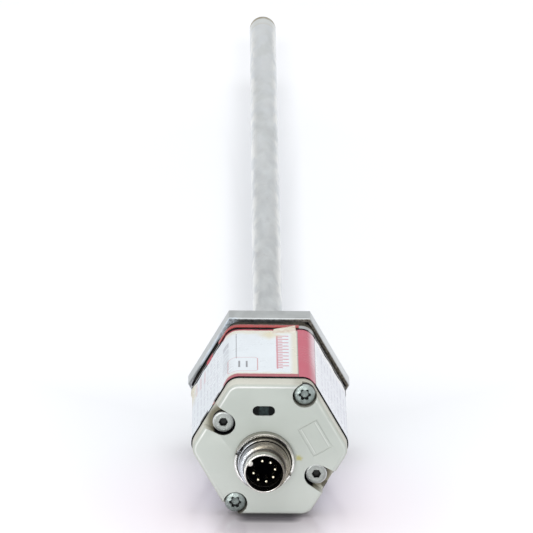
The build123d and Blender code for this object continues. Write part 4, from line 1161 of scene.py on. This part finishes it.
def chip_finish():
    """Black package with a dull, finely clouded surface."""
    f = Finish("chip_black", (0.02, 0.02, 0.022), 0.55, specular=0.4)
    cloud = f.noise(f.place(), 3.0, 4.0)
    f.put("Base Color", f.tone((0.025, 0.025, 0.028), f.spread(cloud), 0.8, 1.3))
    f.bump(cloud, 0.02, 0.5)
    return f.material


def winding_finish():
    """Enamelled copper, its turns showing as fine ribs."""
    f = Finish("coil_copper", (0.45, 0.16, 0.06), 0.28, metallic=0.85)
    x = f.axes(f.place())[0]
    ribs = f.sum("ABSOLUTE", f.sum("MULTIPLY_ADD", f.phase(x, 0.16), 2.0, -1.0))
    f.put("Base Color", f.mix(ribs, (0.50, 0.19, 0.07), (0.24, 0.07, 0.03)))
    f.bump(ribs, 0.05, 0.8, invert=True)
    return f.material


def clear_finish():
    """Clear resin of the small lamps."""
    f = Finish("lamp_clear", (0.62, 0.70, 0.64), 0.15, specular=0.5)
    f.put("Transmission Weight", 0.6)
    f.put("Roughness", f.spread(f.noise(f.place(), 0.8, 3.0), 0.08, 0.22))
    return f.material


def floor_finish(studio):
    """Pale glossy table with painted warm shade and pink reflected light near the sensor and a dark painted
    shadow under its lid.

    Away from the sensor it is whiter when seen by the camera, in a mirror or through a clear piece, but
    for a soft painted shade along the rod.
    """
    colour = plain(studio.floor)
    f = Finish("floor_table", colour, 0.16, specular=0.5)
    cloud = f.noise(f.place(), 0.004, 3.0)
    x, y, _ = f.axes(f.place())
    beside = f.sum("ABSOLUTE", x)
    paint = f.tone(colour, f.spread(cloud), 0.99, 1.01)
    # Painted warm shade and pink reflected light near the sensor
    near = f.step(f.radius(x, f.sum("ADD", y, 65.0)), 88.0, 20.0)
    paint = f.coat(paint, tuple(c * t for c, t in zip(colour, (0.945, 0.855, 0.885))), near)
    # Painted shadow under and in front of the lid
    under = f.step(y, 0.0, -10.0)
    front = f.both(f.step(beside, 22.0, 12.0), f.step(y, -110.0, -76.0, 0.0, 0.32), under)
    contact = f.both(f.step(beside, 14.0, 6.5), f.step(y, -80.0, -73.0, 0.0, 0.9), under)
    f.put("Base Color", f.coat(paint, (0.10, 0.09, 0.11), f.either(front, contact)))

    # Whiter to the camera away from the sensor; held back near it and along the rod as painted shade
    around = f.step(f.radius(f.sum("MULTIPLY", x, 2.4), f.sum("SUBTRACT", y, 120.0)), 60.0, 300.0)
    strip = f.both(f.step(y, 0.0, 90.0), f.step(beside, 4.0, 16.0), 0.85)
    shade = f.both(f.step(beside, 15.0, 6.0), f.step(y, 490.0, 465.0), 0.55)
    far = f.both(f.either(around, strip), f.sum("SUBTRACT", 1.0, shade))
    path = f.node("ShaderNodeLightPath")
    seen = f.either(path.outputs["Is Camera Ray"], path.outputs["Is Glossy Ray"],
                    path.outputs["Is Transmission Ray"])
    f.put("Emission Color", (1.0, 1.0, 1.0, 1.0))
    f.put("Emission Strength", f.both(seen, far, 0.14))
    return f.material


# Pieces

def flange_shape(shape):
    """Flange and neck as one profile carried round the axis, with the two tapped holes cut in.

    Each row has a round radius, a hexagon width and the hexagon's share, and the radius at an angle is
    the round one and the hexagon's mixed by that share. On the neck the thread's depth is taken off.
    """
    wide = FLANGE_HIGH[2] - FLANGE_LOW[2]
    near, end = FLANGE_LOW[1], FLANGE_HIGH[1]
    narrow = wide - 2 * FLANGE_EDGE
    thread_start, thread_end = UNDERCUT_L, end - NECK_CHAMFER
    turns = np.linspace(thread_start, thread_end, 12 * round((thread_end - thread_start) / NECK_PITCH))
    rows = [(near, NUT_BORE_R, narrow, 0.0), (near, NUT_BORE_R, narrow, 0.5),
            (near, NUT_BORE_R, narrow, 1.0), (near + FLANGE_EDGE, 0.0, wide, 1.0),
            (-REAR_EDGE, 0.0, wide, 1.0), (0.0, 0.0, wide - 2 * REAR_EDGE, 1.0),
            (0.0, UNDERCUT_R, wide, 0.0), (UNDERCUT_L, UNDERCUT_R, wide, 0.0)]
    rows += [(y, NECK_R, wide, 0.0) for y in turns]
    rows += [(end, NECK_R - NECK_CHAMFER, wide, 0.0), (end, SPIGOT_BORE_R, wide, 0.0),
             (SHOULDER_Y, SPIGOT_BORE_R, wide, 0.0), (SHOULDER_Y, ROD_BORE_R, wide, 0.0),
             (near + NUT_BORE_L, ROD_BORE_R, wide, 0.0), (near + NUT_BORE_L, NUT_BORE_R, wide, 0.0)]
    rows = np.array(rows)
    angles = hexagon_angles(wide, FLANGE_CORNER, 24, 5)
    width, share = rows[:, 2][:, None], rows[:, 3][:, None]
    hexagon = hexagon_radius(angles, wide, FLANGE_CORNER)[None, :] * width / wide
    cut = thread_cut(rows[:, 0][:, None], angles[None, :], thread_start, thread_end, NECK_PITCH,
                     shape.neck_depth / MM)
    on_neck = (rows[:, 1][:, None] == NECK_R) & (share == 0)
    radius = rows[:, 1][:, None] * (1 - share) + hexagon * share - np.where(on_neck, cut, 0)
    y = np.broadcast_to(rows[:, 0][:, None], radius.shape)
    grid = np.stack([radius * np.cos(angles), y, radius * np.sin(angles)], -1)
    return shells("flange_body", [(grid, True, True)], FLANGE_SHARP)


def cut_holes(thing, tool):
    """Takes the closed shells of a tool out of a piece's mesh, and removes the tool."""
    cut = thing.modifiers.new("holes", "BOOLEAN")
    cut.operation = "DIFFERENCE"
    cut.solver = "EXACT"
    cut.object = tool
    result = bpy.data.meshes.new_from_object(thing.evaluated_get(bpy.context.evaluated_depsgraph_get()))
    thing.modifiers.clear()
    thing.data = result
    bpy.data.objects.remove(tool)
    smooth(result, FLANGE_SHARP)


def rod_bar(profile, columns, centre=(0.0, 0.0)):
    """A closed turned shell; the profile starts and ends on the axis."""
    angles = np.linspace(0, TAU, columns, endpoint=False)
    return turned(profile, angles, centre), False, True


def label_sheet(name, s_low, s_high, y_low, y_high, outer_af, lift, steps):
    """A foil sheet on a hexagon: its point is the path's point at s, moved outwards by lift(s, y)."""
    s = np.linspace(s_low, s_high, steps[0])
    y = np.linspace(y_low, y_high, steps[1])
    ss, yy = np.meshgrid(s, y, indexing="ij")
    point, outward = hexagon_path(ss, outer_af, HEAD_CORNER)
    height, shift = lift(ss, yy)
    point = point + outward * height[..., None]
    grid = np.stack([point[..., 0], yy + shift, point[..., 1]], -1)
    uv = np.stack([ss, yy], -1).reshape(-1, 2)
    faces = grid_faces(*grid.shape[:2], False, False)
    mesh = new_mesh(name, grid.reshape(-1, 3), faces, uv)
    mesh.shade_smooth()
    return mesh


def flap_sheet(shape):
    """The peeled corner of the label, from its fold (v = 0) to its free edge (v = 1).

    In plan it mixes the four corner places by u and v. It rises by the lift times (0.55 + 0.45 u) times
    the power 0.9 of v, plus a ripple that grows with u and v.
    """
    rows, columns = 40, 48
    u, v = np.meshgrid(np.linspace(0, 1, rows), np.linspace(0, 1, columns), indexing="ij")
    along, away = u[..., None], v[..., None]
    fold = (1 - along) * FLAP_FOLD[0] + along * FLAP_FOLD[1]
    free = (1 - along) * FLAP_FREE[0] + along * FLAP_FREE[1]
    flat = (1 - away) * fold + away * free
    lift = shape.flap_lift / MM
    rise = lift * (0.55 + 0.45 * u) * v ** 0.9 + 0.05 * np.sin(9 * v + 4 * u) * u * v
    grid = np.stack([flat[..., 0], flat[..., 1], LABEL_AF / 2 + 0.04 + rise], -1)
    uv = np.stack([u, v], -1).reshape(-1, 2)
    mesh = new_mesh("label_flap", grid.reshape(-1, 3), grid_faces(rows, columns, False, False), uv)
    mesh.flip_normals()
    mesh.shade_smooth()
    return mesh


def foil_thickness(thing, thickness):
    """Gives a sheet its wall, inwards from its printed side."""
    solid = thing.modifiers.new("foil", "SOLIDIFY")
    solid.thickness = thickness * MM
    solid.offset = -1.0
    return thing


def screw_shape(name, places, head_y, seat_y, tip_y, drive_r, drive_depth, dome):
    """Screws with a driven head: the drive's outline sets the radius of the recess at each angle.

    The head's height falls off with the square of the radius by dome, and the shank carries a thread.
    """
    columns = 96
    angles = np.linspace(0, TAU, columns, endpoint=False)
    recess = drive_r(angles)
    ones = np.ones(columns)
    head_r, shank_r = SCREW_HEAD_R, SHANK_R
    edge = 0.35
    low, high = tip_y - min(SCREW_THREAD_L, tip_y - seat_y - 1.0), tip_y - 0.5
    turns = np.linspace(low, high, 90)
    cut = thread_cut(turns[:, None], angles[None, :], low, high, SCREW_PITCH, SCREW_THREAD)
    top = [(head_y + drive_depth + 0.3, 0 * ones), (head_y + drive_depth, 0.98 * recess),
           (head_y + 0.12, recess), (head_y, recess + 0.12)]
    for share in (0.4, 0.7, 1.0):
        r = recess + 0.12 + (head_r - edge - recess - 0.12) * share
        top.append((head_y + dome * (r / head_r) ** 2, r))
    side = [(head_y + dome + 0.12, (head_r - 0.1) * ones), (head_y + dome + edge, head_r * ones),
            (seat_y - 0.1, head_r * ones), (seat_y, (head_r - 0.1) * ones), (seat_y, shank_r * ones)]
    thread = [(y, shank_r - row) for y, row in zip(turns, cut)]
    end = [(tip_y, (shank_r - 0.5) * ones), (tip_y, 0 * ones)]
    rows = top + side + thread + end
    y = np.stack([np.broadcast_to(row[0], (columns,)) for row in rows])
    r = np.stack([row[1] for row in rows])
    return shells(name, [(np.stack([x + r * np.cos(angles), y, z + r * np.sin(angles)], -1), False, True)
                         for x, z in places])


def connector_shape(shape):
    """Receptacle: a rounded profile carried round its axis, threaded on its widest step, and its key."""
    rear, rim = SHELL_HIGH[1], SHELL_LOW[1]
    flange_r = (SHELL_HIGH[0] - SHELL_LOW[0]) / 2
    under = rear - SHELL_FLANGE_L
    profile = rounded([
        (rear, SOCKET_R, 0.0), (rear, flange_r, 0.2), (under, flange_r, 0.2), (under, GROOVE_OUTER_R, 0.0),
        (under + GROOVE_L, GROOVE_OUTER_R, 0.0), (under + GROOVE_L, GROOVE_INNER_R, 0.0),
        (under, GROOVE_INNER_R, 0.0), (under, COLLAR_R, 0.0),
        (COLLAR_END, COLLAR_R, 0.45), (COLLAR_END, RELIEF_R, 0.2), (RELIEF_END, RELIEF_R, 0.2)])
    turns = np.linspace(RELIEF_END, THREAD_END, 60)
    thread = np.stack([turns, np.full(len(turns), CONNECTOR_THREAD_R)], -1)
    sleeve = rounded([(THREAD_END, SLEEVE_R + 0.9, 0.0), (THREAD_END, SLEEVE_R, 0.25),
                      (rim, SLEEVE_R, 0.16), (rim, SOCKET_R, 0.12)])
    whole = np.concatenate([profile, thread, sleeve])
    middle = np.zeros(len(whole), bool)
    middle[len(profile):len(profile) + len(turns)] = True

    def radius_of(y, r, angle):
        """The profile's radius, on the thread's rows less the thread and the bevels at its ends."""
        cut = thread_cut(-y, -angle, -RELIEF_END, -THREAD_END, CONNECTOR_PITCH,
                         shape.connector_depth / MM)
        ends = np.minimum(np.abs(y - RELIEF_END), np.abs(y - THREAD_END))
        bevel = np.clip(THREAD_BEVEL - ends, 0, THREAD_BEVEL)
        return np.where(middle[:, None], r - cut - bevel, r)

    angles = np.linspace(0, TAU, 144, endpoint=False)
    body = turned(whole, angles, (CONNECTOR_X, CONNECTOR_Z), radius_of)
    place = polar(KEY_CENTRE_R, KEY_ANGLE) + (CONNECTOR_X, CONNECTOR_Z)
    key_front = rim + KEY_SETBACK
    bar = np.array([(key_front, 0.0), (key_front, KEY_R - 0.2), (key_front + 0.06, KEY_R - 0.07),
                    (key_front + 0.2, KEY_R), (SOCKET_FLOOR, KEY_R), (SOCKET_FLOOR, 0.0)])
    return shells("connector_receptacle", [(body, True, True), rod_bar(bar, 32, place)], 30.0)


# Operators

def shape_props():
    """The scene's size properties."""
    return bpy.context.scene.sensor_shape


def colour_props():
    """The scene's colour properties."""
    return bpy.context.scene.sensor_colours


class SENSOR_OT_flange(bpy.types.Operator):
    """Build the hexagonal flange with its threaded neck"""

    bl_idname = "sensor.flange"
    bl_label = "Flange"

    def execute(self, context):
        flange = flange_shape(shape_props())
        start = FLANGE_LOW[1] - 1.0
        bar = np.array([(start, 0.0), (start, TAP_R), (TAP_END, TAP_R), (TAP_END, 0.0)])
        places = pair(LONG_SCREW_R, LONG_SCREW_ANGLE)
        cut_holes(flange, shells("cutter", [rod_bar(bar, 32, place) for place in places]))
        fitted(flange, flange_finish(colour_props()), "flange_steel", "mounting_flange")
        return {"FINISHED"}


class SENSOR_OT_rod(bpy.types.Operator):
    """Build the pressure tube and its welded, rounded plug"""

    bl_idname = "sensor.rod"
    bl_label = "Rod"

    def execute(self, context):
        outer = (ROD_HIGH[0] - ROD_LOW[0]) / 2
        neck_end, seam = FLANGE_HIGH[1], ROD_HIGH[1]
        stretch = np.linspace(neck_end, seam, 60)
        spigot_r = SPIGOT_BORE_R - FIT
        tube = [(ROD_LOW[1], ROD_BORE_R), (ROD_LOW[1], spigot_r), (neck_end, spigot_r)]
        tube += [(y, outer) for y in stretch] + [(seam, ROD_BORE_R)]
        grid = turned(np.array(tube), np.linspace(0, TAU, 96, endpoint=False))
        rod = shells("pressure_tube", [(grid, True, True)])
        fitted(rod, rod_finish(colour_props()), "rod_steel", "rod_tube")
        end, spigot = PLUG_HIGH[1], PLUG_LOW[1]
        dome = [(end - PLUG_ROUND + PLUG_ROUND * math.sin(a), outer - PLUG_ROUND + PLUG_ROUND * math.cos(a))
                for a in np.linspace(0, math.pi / 2, 14)]
        plug = [(spigot, 0.0), (spigot, ROD_BORE_R - FIT), (seam, ROD_BORE_R - FIT), (seam, outer)]
        plug += dome + [(end, 0.0)]
        tip = shells("welded_plug", [rod_bar(np.array(plug), 96)])
        fitted(tip, weld_finish(colour_props()), "weld_steel", "rod_end_plug")
        return {"FINISHED"}


class SENSOR_OT_seals(bpy.types.Operator):
    """Finish the seals and gaskets in black rubber"""

    bl_idname = "sensor.seals"
    bl_label = "Seals"

    def execute(self, context):
        thick = merged_copy("flange_gasket", "flange_seal")
        fitted(broken_edges(thick, 0.3 * MM), gasket_finish(), "black_rubber", "flange_gasket")
        finish_nodes(front_gasket_finish(), "front_gasket")
        finish_nodes(rubber_finish("seal_rubber", SEAL_BLACK), "rear_gasket", "neck_seal", "connector_seal")
        return {"FINISHED"}


class SENSOR_OT_base_plate(bpy.types.Operator):
    """Build the base plate and the worn red film on its edge"""

    bl_idname = "sensor.base_plate"
    bl_label = "Base Plate"

    def execute(self, context):
        plate = merged_copy("base_plate", "plate_edge")
        fitted(broken_edges(plate, shape_props().edge_wear), plate_finish(), "plate_metal", "base_plate")

        def lift(s, y):
            """Slight waves outwards, and ragged edges: Y shifts more towards both edges."""
            wave = np.sin(1.7 * s) + 0.6 * np.sin(4.3 * s + 1.1) + 0.4 * np.sin(9.1 * s + 0.4)
            side = (y - (FILM_LOW[1] + FILM_HIGH[1]) / 2) / FILM_HALF_W
            return 0.01 * np.sin(2.3 * s + y), 0.06 * wave * side

        film = label_sheet("red_film", FILM_START, FILM_HIGH[0], FILM_LOW[1], FILM_HIGH[1], FILM_AF,
                           lift, (200, 8))
        film = foil_thickness(show(film, "red_film"), FOIL_T)
        fitted(film, film_finish(colour_props()), "red_film", "base_plate_film")
        return {"FINISHED"}


class SENSOR_OT_housing(bpy.types.Operator):
    """Finish the extruded housing that shows at the label's ends"""

    bl_idname = "sensor.housing"
    bl_label = "Housing"

    def execute(self, context):
        finish_nodes(plain_metal("housing_aluminium", (0.62, 0.63, 0.63), 0.38), "housing")
        return {"FINISHED"}


class SENSOR_OT_label(bpy.types.Operator):
    """Wrap the printed foil round the housing and peel its rear corner"""

    bl_idname = "sensor.label"
    bl_label = "Label"

    def execute(self, context):
        shape = shape_props()
        half_turn = 3 * (2 * FACET + CORNER_ARC) - HALF_SEAM
        wrinkle = shape.foil_wrinkle / MM

        def lift(s, y):
            """Wrinkles, curled ends and the raised left corner at the rear; nothing shifts along Y."""
            wave = np.sin(0.9 * s + 0.2 * y) * np.sin(0.31 * y + 0.5) + 0.5 * np.sin(2.1 * s - 0.4 * y)
            to_rear = np.clip((y - LABEL_REAR + 2.2) / 2.2, 0, 1) ** 2
            to_front = np.clip((LABEL_FRONT + 1.4 - y) / 1.4, 0, 1) ** 2
            curl = 0.10 * to_rear * (0.5 + 0.5 * np.sin(0.8 * s)) + 0.05 * to_front
            corner = 0.35 * to_rear * np.exp(-((s + 37.5) / 2.6) ** 2)
            return wrinkle * wave + curl + corner, 0.0 * s

        foil = label_sheet("foil_label", -half_turn, half_turn, LABEL_FRONT, LABEL_REAR, LABEL_AF, lift,
                           (420, 70))
        foil = foil_thickness(show(foil, "foil_label"), FOIL_T)
        fitted(foil, label_finish(colour_props()), "label_foil", "label_wrap")

        flap = foil_thickness(show(flap_sheet(shape), "label_flap"), FLAP_T)
        fitted(flap, flap_finish(), "label_foil")
        return {"FINISHED"}


class SENSOR_OT_lid(bpy.types.Operator):
    """Build the cast lid with its softened edges"""

    bl_idname = "sensor.lid"
    bl_label = "Lid"

    def execute(self, context):
        lid = merged_copy("connector_lid", "cast_lid")
        broken_edges(lid, shape_props().edge_wear, 50.0)
        fitted(lid, lid_finish(colour_props()), "lid_cast", "connector_lid")
        return {"FINISHED"}


class SENSOR_OT_window(bpy.types.Operator):
    """Build the dark status window"""

    bl_idname = "sensor.window"
    bl_label = "Window"

    def execute(self, context):
        pane = merged_copy("status_window", "window_pane")
        broken_edges(pane, 0.2 * MM, 50.0, 3)
        fitted(pane, window_finish(), "window_dark", "status_window")
        return {"FINISHED"}


def hexagon_drive(angle):
    """Radius of a hexagon socket."""
    return hexagon_radius(angle, SOCKET_AF, 0.08)


def lobe_drive(angle):
    """Radius of a six-lobe socket: its middle radius plus a cosine six times round, sharpened."""
    wave = np.cos(6 * angle)
    return 1.66 + 0.27 * np.sign(wave) * np.abs(wave) ** 0.8


class SENSOR_OT_screws(bpy.types.Operator):
    """Build the two long socket screws and the two lid screws, and finish the base plate's and carrier's
    screws
    """

    bl_idname = "sensor.screws"
    bl_label = "Screws"

    def execute(self, context):
        low, high = box_mm("long_screws")
        screws = screw_shape("socket_screws", pair(LONG_SCREW_R, LONG_SCREW_ANGLE), low[1],
                             low[1] + SOCKET_HEAD_L, high[1], hexagon_drive, SOCKET_DRIVE_L, 0.0)
        steel = head_finish("socket_steel", (0.37, 0.395, 0.375), LONG_SCREW_R, LONG_SCREW_ANGLE, low[1],
                            SOCKET_DRIVE_R)
        fitted(screws, steel, "screw_steel", "long_screws")
        low, high = box_mm("lid_screws")
        screws = screw_shape("lobe_screws", pair(CORNER_SCREW_R, CORNER_SCREW_ANGLE), low[1],
                             low[1] + LOBE_HEAD_L, high[1], lobe_drive, LOBE_DRIVE_L, LOBE_DOME)
        steel = head_finish("lobe_steel", (0.37, 0.43, 0.41), CORNER_SCREW_R, CORNER_SCREW_ANGLE, low[1],
                            LOBE_DRIVE_R, 0.3, 0.25)
        fitted(screws, steel, "screw_steel", "lid_screws")
        zinc = screw_steel("screw_zinc", (0.60, 0.62, 0.64)).material
        finish_nodes(zinc, "base_plate_screws", "carrier_screws")
        return {"FINISHED"}


class SENSOR_OT_connector(bpy.types.Operator):
    """Build the round connector with its thread, nut, insert and pins"""

    bl_idname = "sensor.connector"
    bl_label = "Connector"

    def execute(self, context):
        nickel = nickel_finish(colour_props())
        shell = connector_shape(shape_props())
        fitted(shell, nickel, "connector_nickel", "connector_shell")
        nut = merged_copy("connector_ring_nut", "ring_nut")
        fitted(broken_edges(nut, 0.08 * MM), nickel, "connector_nickel", "connector_ring_nut")
        black = plain_plastic("insert_black", (0.001, 0.001, 0.0016), 0.5, specular=0.0)
        finish_nodes(black, "connector_insert")
        finish_nodes(plain_metal("pin_gold", (0.86, 0.80, 0.62), 0.22), "connector_pins")
        return {"FINISHED"}


class SENSOR_OT_electronics(bpy.types.Operator):
    """Finish the boards, chips and lamps inside the housing"""

    bl_idname = "sensor.electronics"
    bl_label = "Electronics"

    def execute(self, context):
        finish_nodes(board_finish(), "connector_board", "signal_board", "power_board")
        finish_nodes(chip_finish(), "signal_chips")
        finish_nodes(plain_metal("part_can", (0.52, 0.54, 0.56), 0.4), "power_parts")
        finish_nodes(plain_plastic("header_black", (0.02, 0.02, 0.02), 0.5), "board_header", "lamp_block")
        finish_nodes(plain_plastic("flex_amber", (0.50, 0.20, 0.03), 0.3, 1.0), "connector_flex")
        finish_nodes(clear_finish(), "status_lamps")
        return {"FINISHED"}


class SENSOR_OT_element(bpy.types.Operator):
    """Finish the sensing element, from its tray to the end of the rod"""

    bl_idname = "sensor.element"
    bl_label = "Sensing Element"

    def execute(self, context):
        brass = plain_metal("machined_brass", (0.72, 0.53, 0.24), 0.3)
        finish_nodes(brass, "element_nut", "return_terminal", "end_link", "waveguide_clamp")
        wire = plain_metal("waveguide_wire", (0.50, 0.50, 0.52), 0.3, 4.0)
        finish_nodes(wire, "waveguide", "pickup_tape")
        damper = rubber_finish("damper_rubber", (0.16, 0.16, 0.17), 2.0)
        finish_nodes(damper, "tube_spacers", "end_damper", "near_damper")
        finish_nodes(plain_metal("bare_copper", (0.72, 0.33, 0.18), 0.28, 4.0), "return_wire")
        finish_nodes(plain_plastic("tube_plastic", (0.72, 0.70, 0.62), 0.4), "guide_tube")
        finish_nodes(plain_plastic("carrier_plastic", (0.05, 0.05, 0.055), 0.45), "element_carrier")
        finish_nodes(winding_finish(), "pickup_coils")
        finish_nodes(plain_metal("magnet_grey", (0.16, 0.16, 0.17), 0.5), "bias_magnet")
        return {"FINISHED"}


# Camera, fitted to the photograph: place in mm, yaw, pitch and roll in degrees
CAMERA_PLACE = (-20.26657, -2145.41698, 739.00568)
CAMERA_YAW = 0.51079
CAMERA_PITCH = 18.08920
CAMERA_ROLL = 0.67150


def camera_matrix():
    """The camera's axes: forward from yaw and pitch, right level, both then rolled."""
    yaw, pitch, roll = (math.radians(v) for v in (CAMERA_YAW, CAMERA_PITCH, CAMERA_ROLL))
    ahead = np.array([math.sin(yaw) * math.cos(pitch), math.cos(yaw) * math.cos(pitch), -math.sin(pitch)])
    right = np.array([math.cos(yaw), -math.sin(yaw), 0.0])
    up = np.cross(right, ahead)
    right_r = math.cos(roll) * right + math.sin(roll) * up
    up_r = -math.sin(roll) * right + math.cos(roll) * up
    matrix = np.eye(4)
    matrix[:3, 0], matrix[:3, 1], matrix[:3, 2] = right_r, up_r, -ahead
    matrix[:3, 3] = np.array(CAMERA_PLACE) * MM
    return Matrix(matrix.tolist())


def soft_box(name, place, turn, size, power):
    """A square area light."""
    data = bpy.data.lights.new(name, "AREA")
    data.shape = "SQUARE"
    data.size = size
    data.energy = power
    lamp = bpy.data.objects.new(name, data)
    lamp.location = place
    lamp.rotation_euler = tuple(math.radians(v) for v in turn)
    bpy.context.scene.collection.objects.link(lamp)
    return lamp


def surround(studio):
    """World light: pale all round, brighter above and on the left; white when seen."""
    world = bpy.data.worlds.new("studio")
    bpy.context.scene.world = world
    world.use_nodes = True
    f = Wiring(world.node_tree)
    background = world.node_tree.nodes["Background"]
    x, _, z = f.axes(f.node("ShaderNodeTexCoord").outputs["Generated"])
    level = f.both(f.step(z, -0.1, 0.9, 0.97, 1.12), f.step(x, -0.9, 0.9, 1.1, 1.08), studio.sky)
    path = f.node("ShaderNodeLightPath")
    strength = f.node("ShaderNodeMix", data_type="FLOAT")
    f.feed(strength.inputs[0], path.outputs["Is Camera Ray"])
    f.feed(strength.inputs[2], level)
    f.feed(strength.inputs[3], 1.0)
    f.feed(background.inputs["Strength"], strength.outputs[0])
    background.inputs["Color"].default_value = (1.0, 1.0, 1.0, 1.0)


class SENSOR_OT_stage(bpy.types.Operator):
    """Set the table, the soft light and the camera"""

    bl_idname = "sensor.stage"
    bl_label = "Studio"

    def execute(self, context):
        scene = context.scene
        studio = scene.sensor_studio
        side = 6000.0
        points = np.array([(-side, -side, FLOOR_Z), (side, -side, FLOOR_Z), (side, side, FLOOR_Z),
                           (-side, side, FLOOR_Z)])
        floor = show(new_mesh("table", points, np.array([[0, 1, 2, 3]])), "table")
        floor.data.materials.append(floor_finish(studio))
        surround(studio)
        soft_box("overhead", (0.1, 0.1, 1.5), (0, 0, 0), 1.4, studio.overhead)
        soft_box("front", (-0.3, -1.6, 0.22), (83.0, 0.0, -10.5), 0.5, studio.front)
        data = bpy.data.cameras.new("camera")
        data.sensor_width = 36.0
        data.lens = studio.lens
        data.clip_start = 0.05
        data.clip_end = 50.0
        camera = bpy.data.objects.new("camera", data)
        camera.matrix_world = camera_matrix()
        scene.collection.objects.link(camera)
        scene.camera = camera
        scene.view_settings.view_transform = "Standard"
        return {"FINISHED"}


PIECE_OPERATORS = (
    SENSOR_OT_flange, SENSOR_OT_rod, SENSOR_OT_seals, SENSOR_OT_base_plate, SENSOR_OT_housing,
    SENSOR_OT_label, SENSOR_OT_lid, SENSOR_OT_window, SENSOR_OT_screws, SENSOR_OT_connector,
    SENSOR_OT_electronics, SENSOR_OT_element, SENSOR_OT_stage,
)


class SENSOR_PT_panel(bpy.types.Panel):
    """Sizes, colours and operators of the sensor"""

    bl_idname = "SENSOR_PT_panel"
    bl_label = "Rod Position Sensor"
    bl_space_type = "VIEW_3D"
    bl_region_type = "UI"
    bl_category = "Sensor"

    def draw(self, context):
        for group in (context.scene.sensor_shape, context.scene.sensor_colours,
                      context.scene.sensor_studio):
            box = self.layout.box()
            for key in group.__annotations__:
                box.prop(group, key)
        column = self.layout.column(align=True)
        for operator in PIECE_OPERATORS:
            column.operator(operator.bl_idname)


CLASSES = (SensorShape, SensorColours, SensorStudio, *PIECE_OPERATORS, SENSOR_PT_panel)


def register():
    """Registers the classes and the scene's properties."""
    for cls in CLASSES:
        bpy.utils.register_class(cls)
    bpy.types.Scene.sensor_shape = bpy.props.PointerProperty(type=SensorShape)
    bpy.types.Scene.sensor_colours = bpy.props.PointerProperty(type=SensorColours)
    bpy.types.Scene.sensor_studio = bpy.props.PointerProperty(type=SensorStudio)


def unregister():
    """Removes the properties and the classes."""
    del bpy.types.Scene.sensor_studio
    del bpy.types.Scene.sensor_colours
    del bpy.types.Scene.sensor_shape
    for cls in reversed(CLASSES):
        bpy.utils.unregister_class(cls)


def main():
    """Builds every piece and the stage."""
    register()
    for operator in PIECE_OPERATORS:
        group, name = operator.bl_idname.split(".")
        getattr(getattr(bpy.ops, group), name)()


if __name__ == "__main__":
    main()
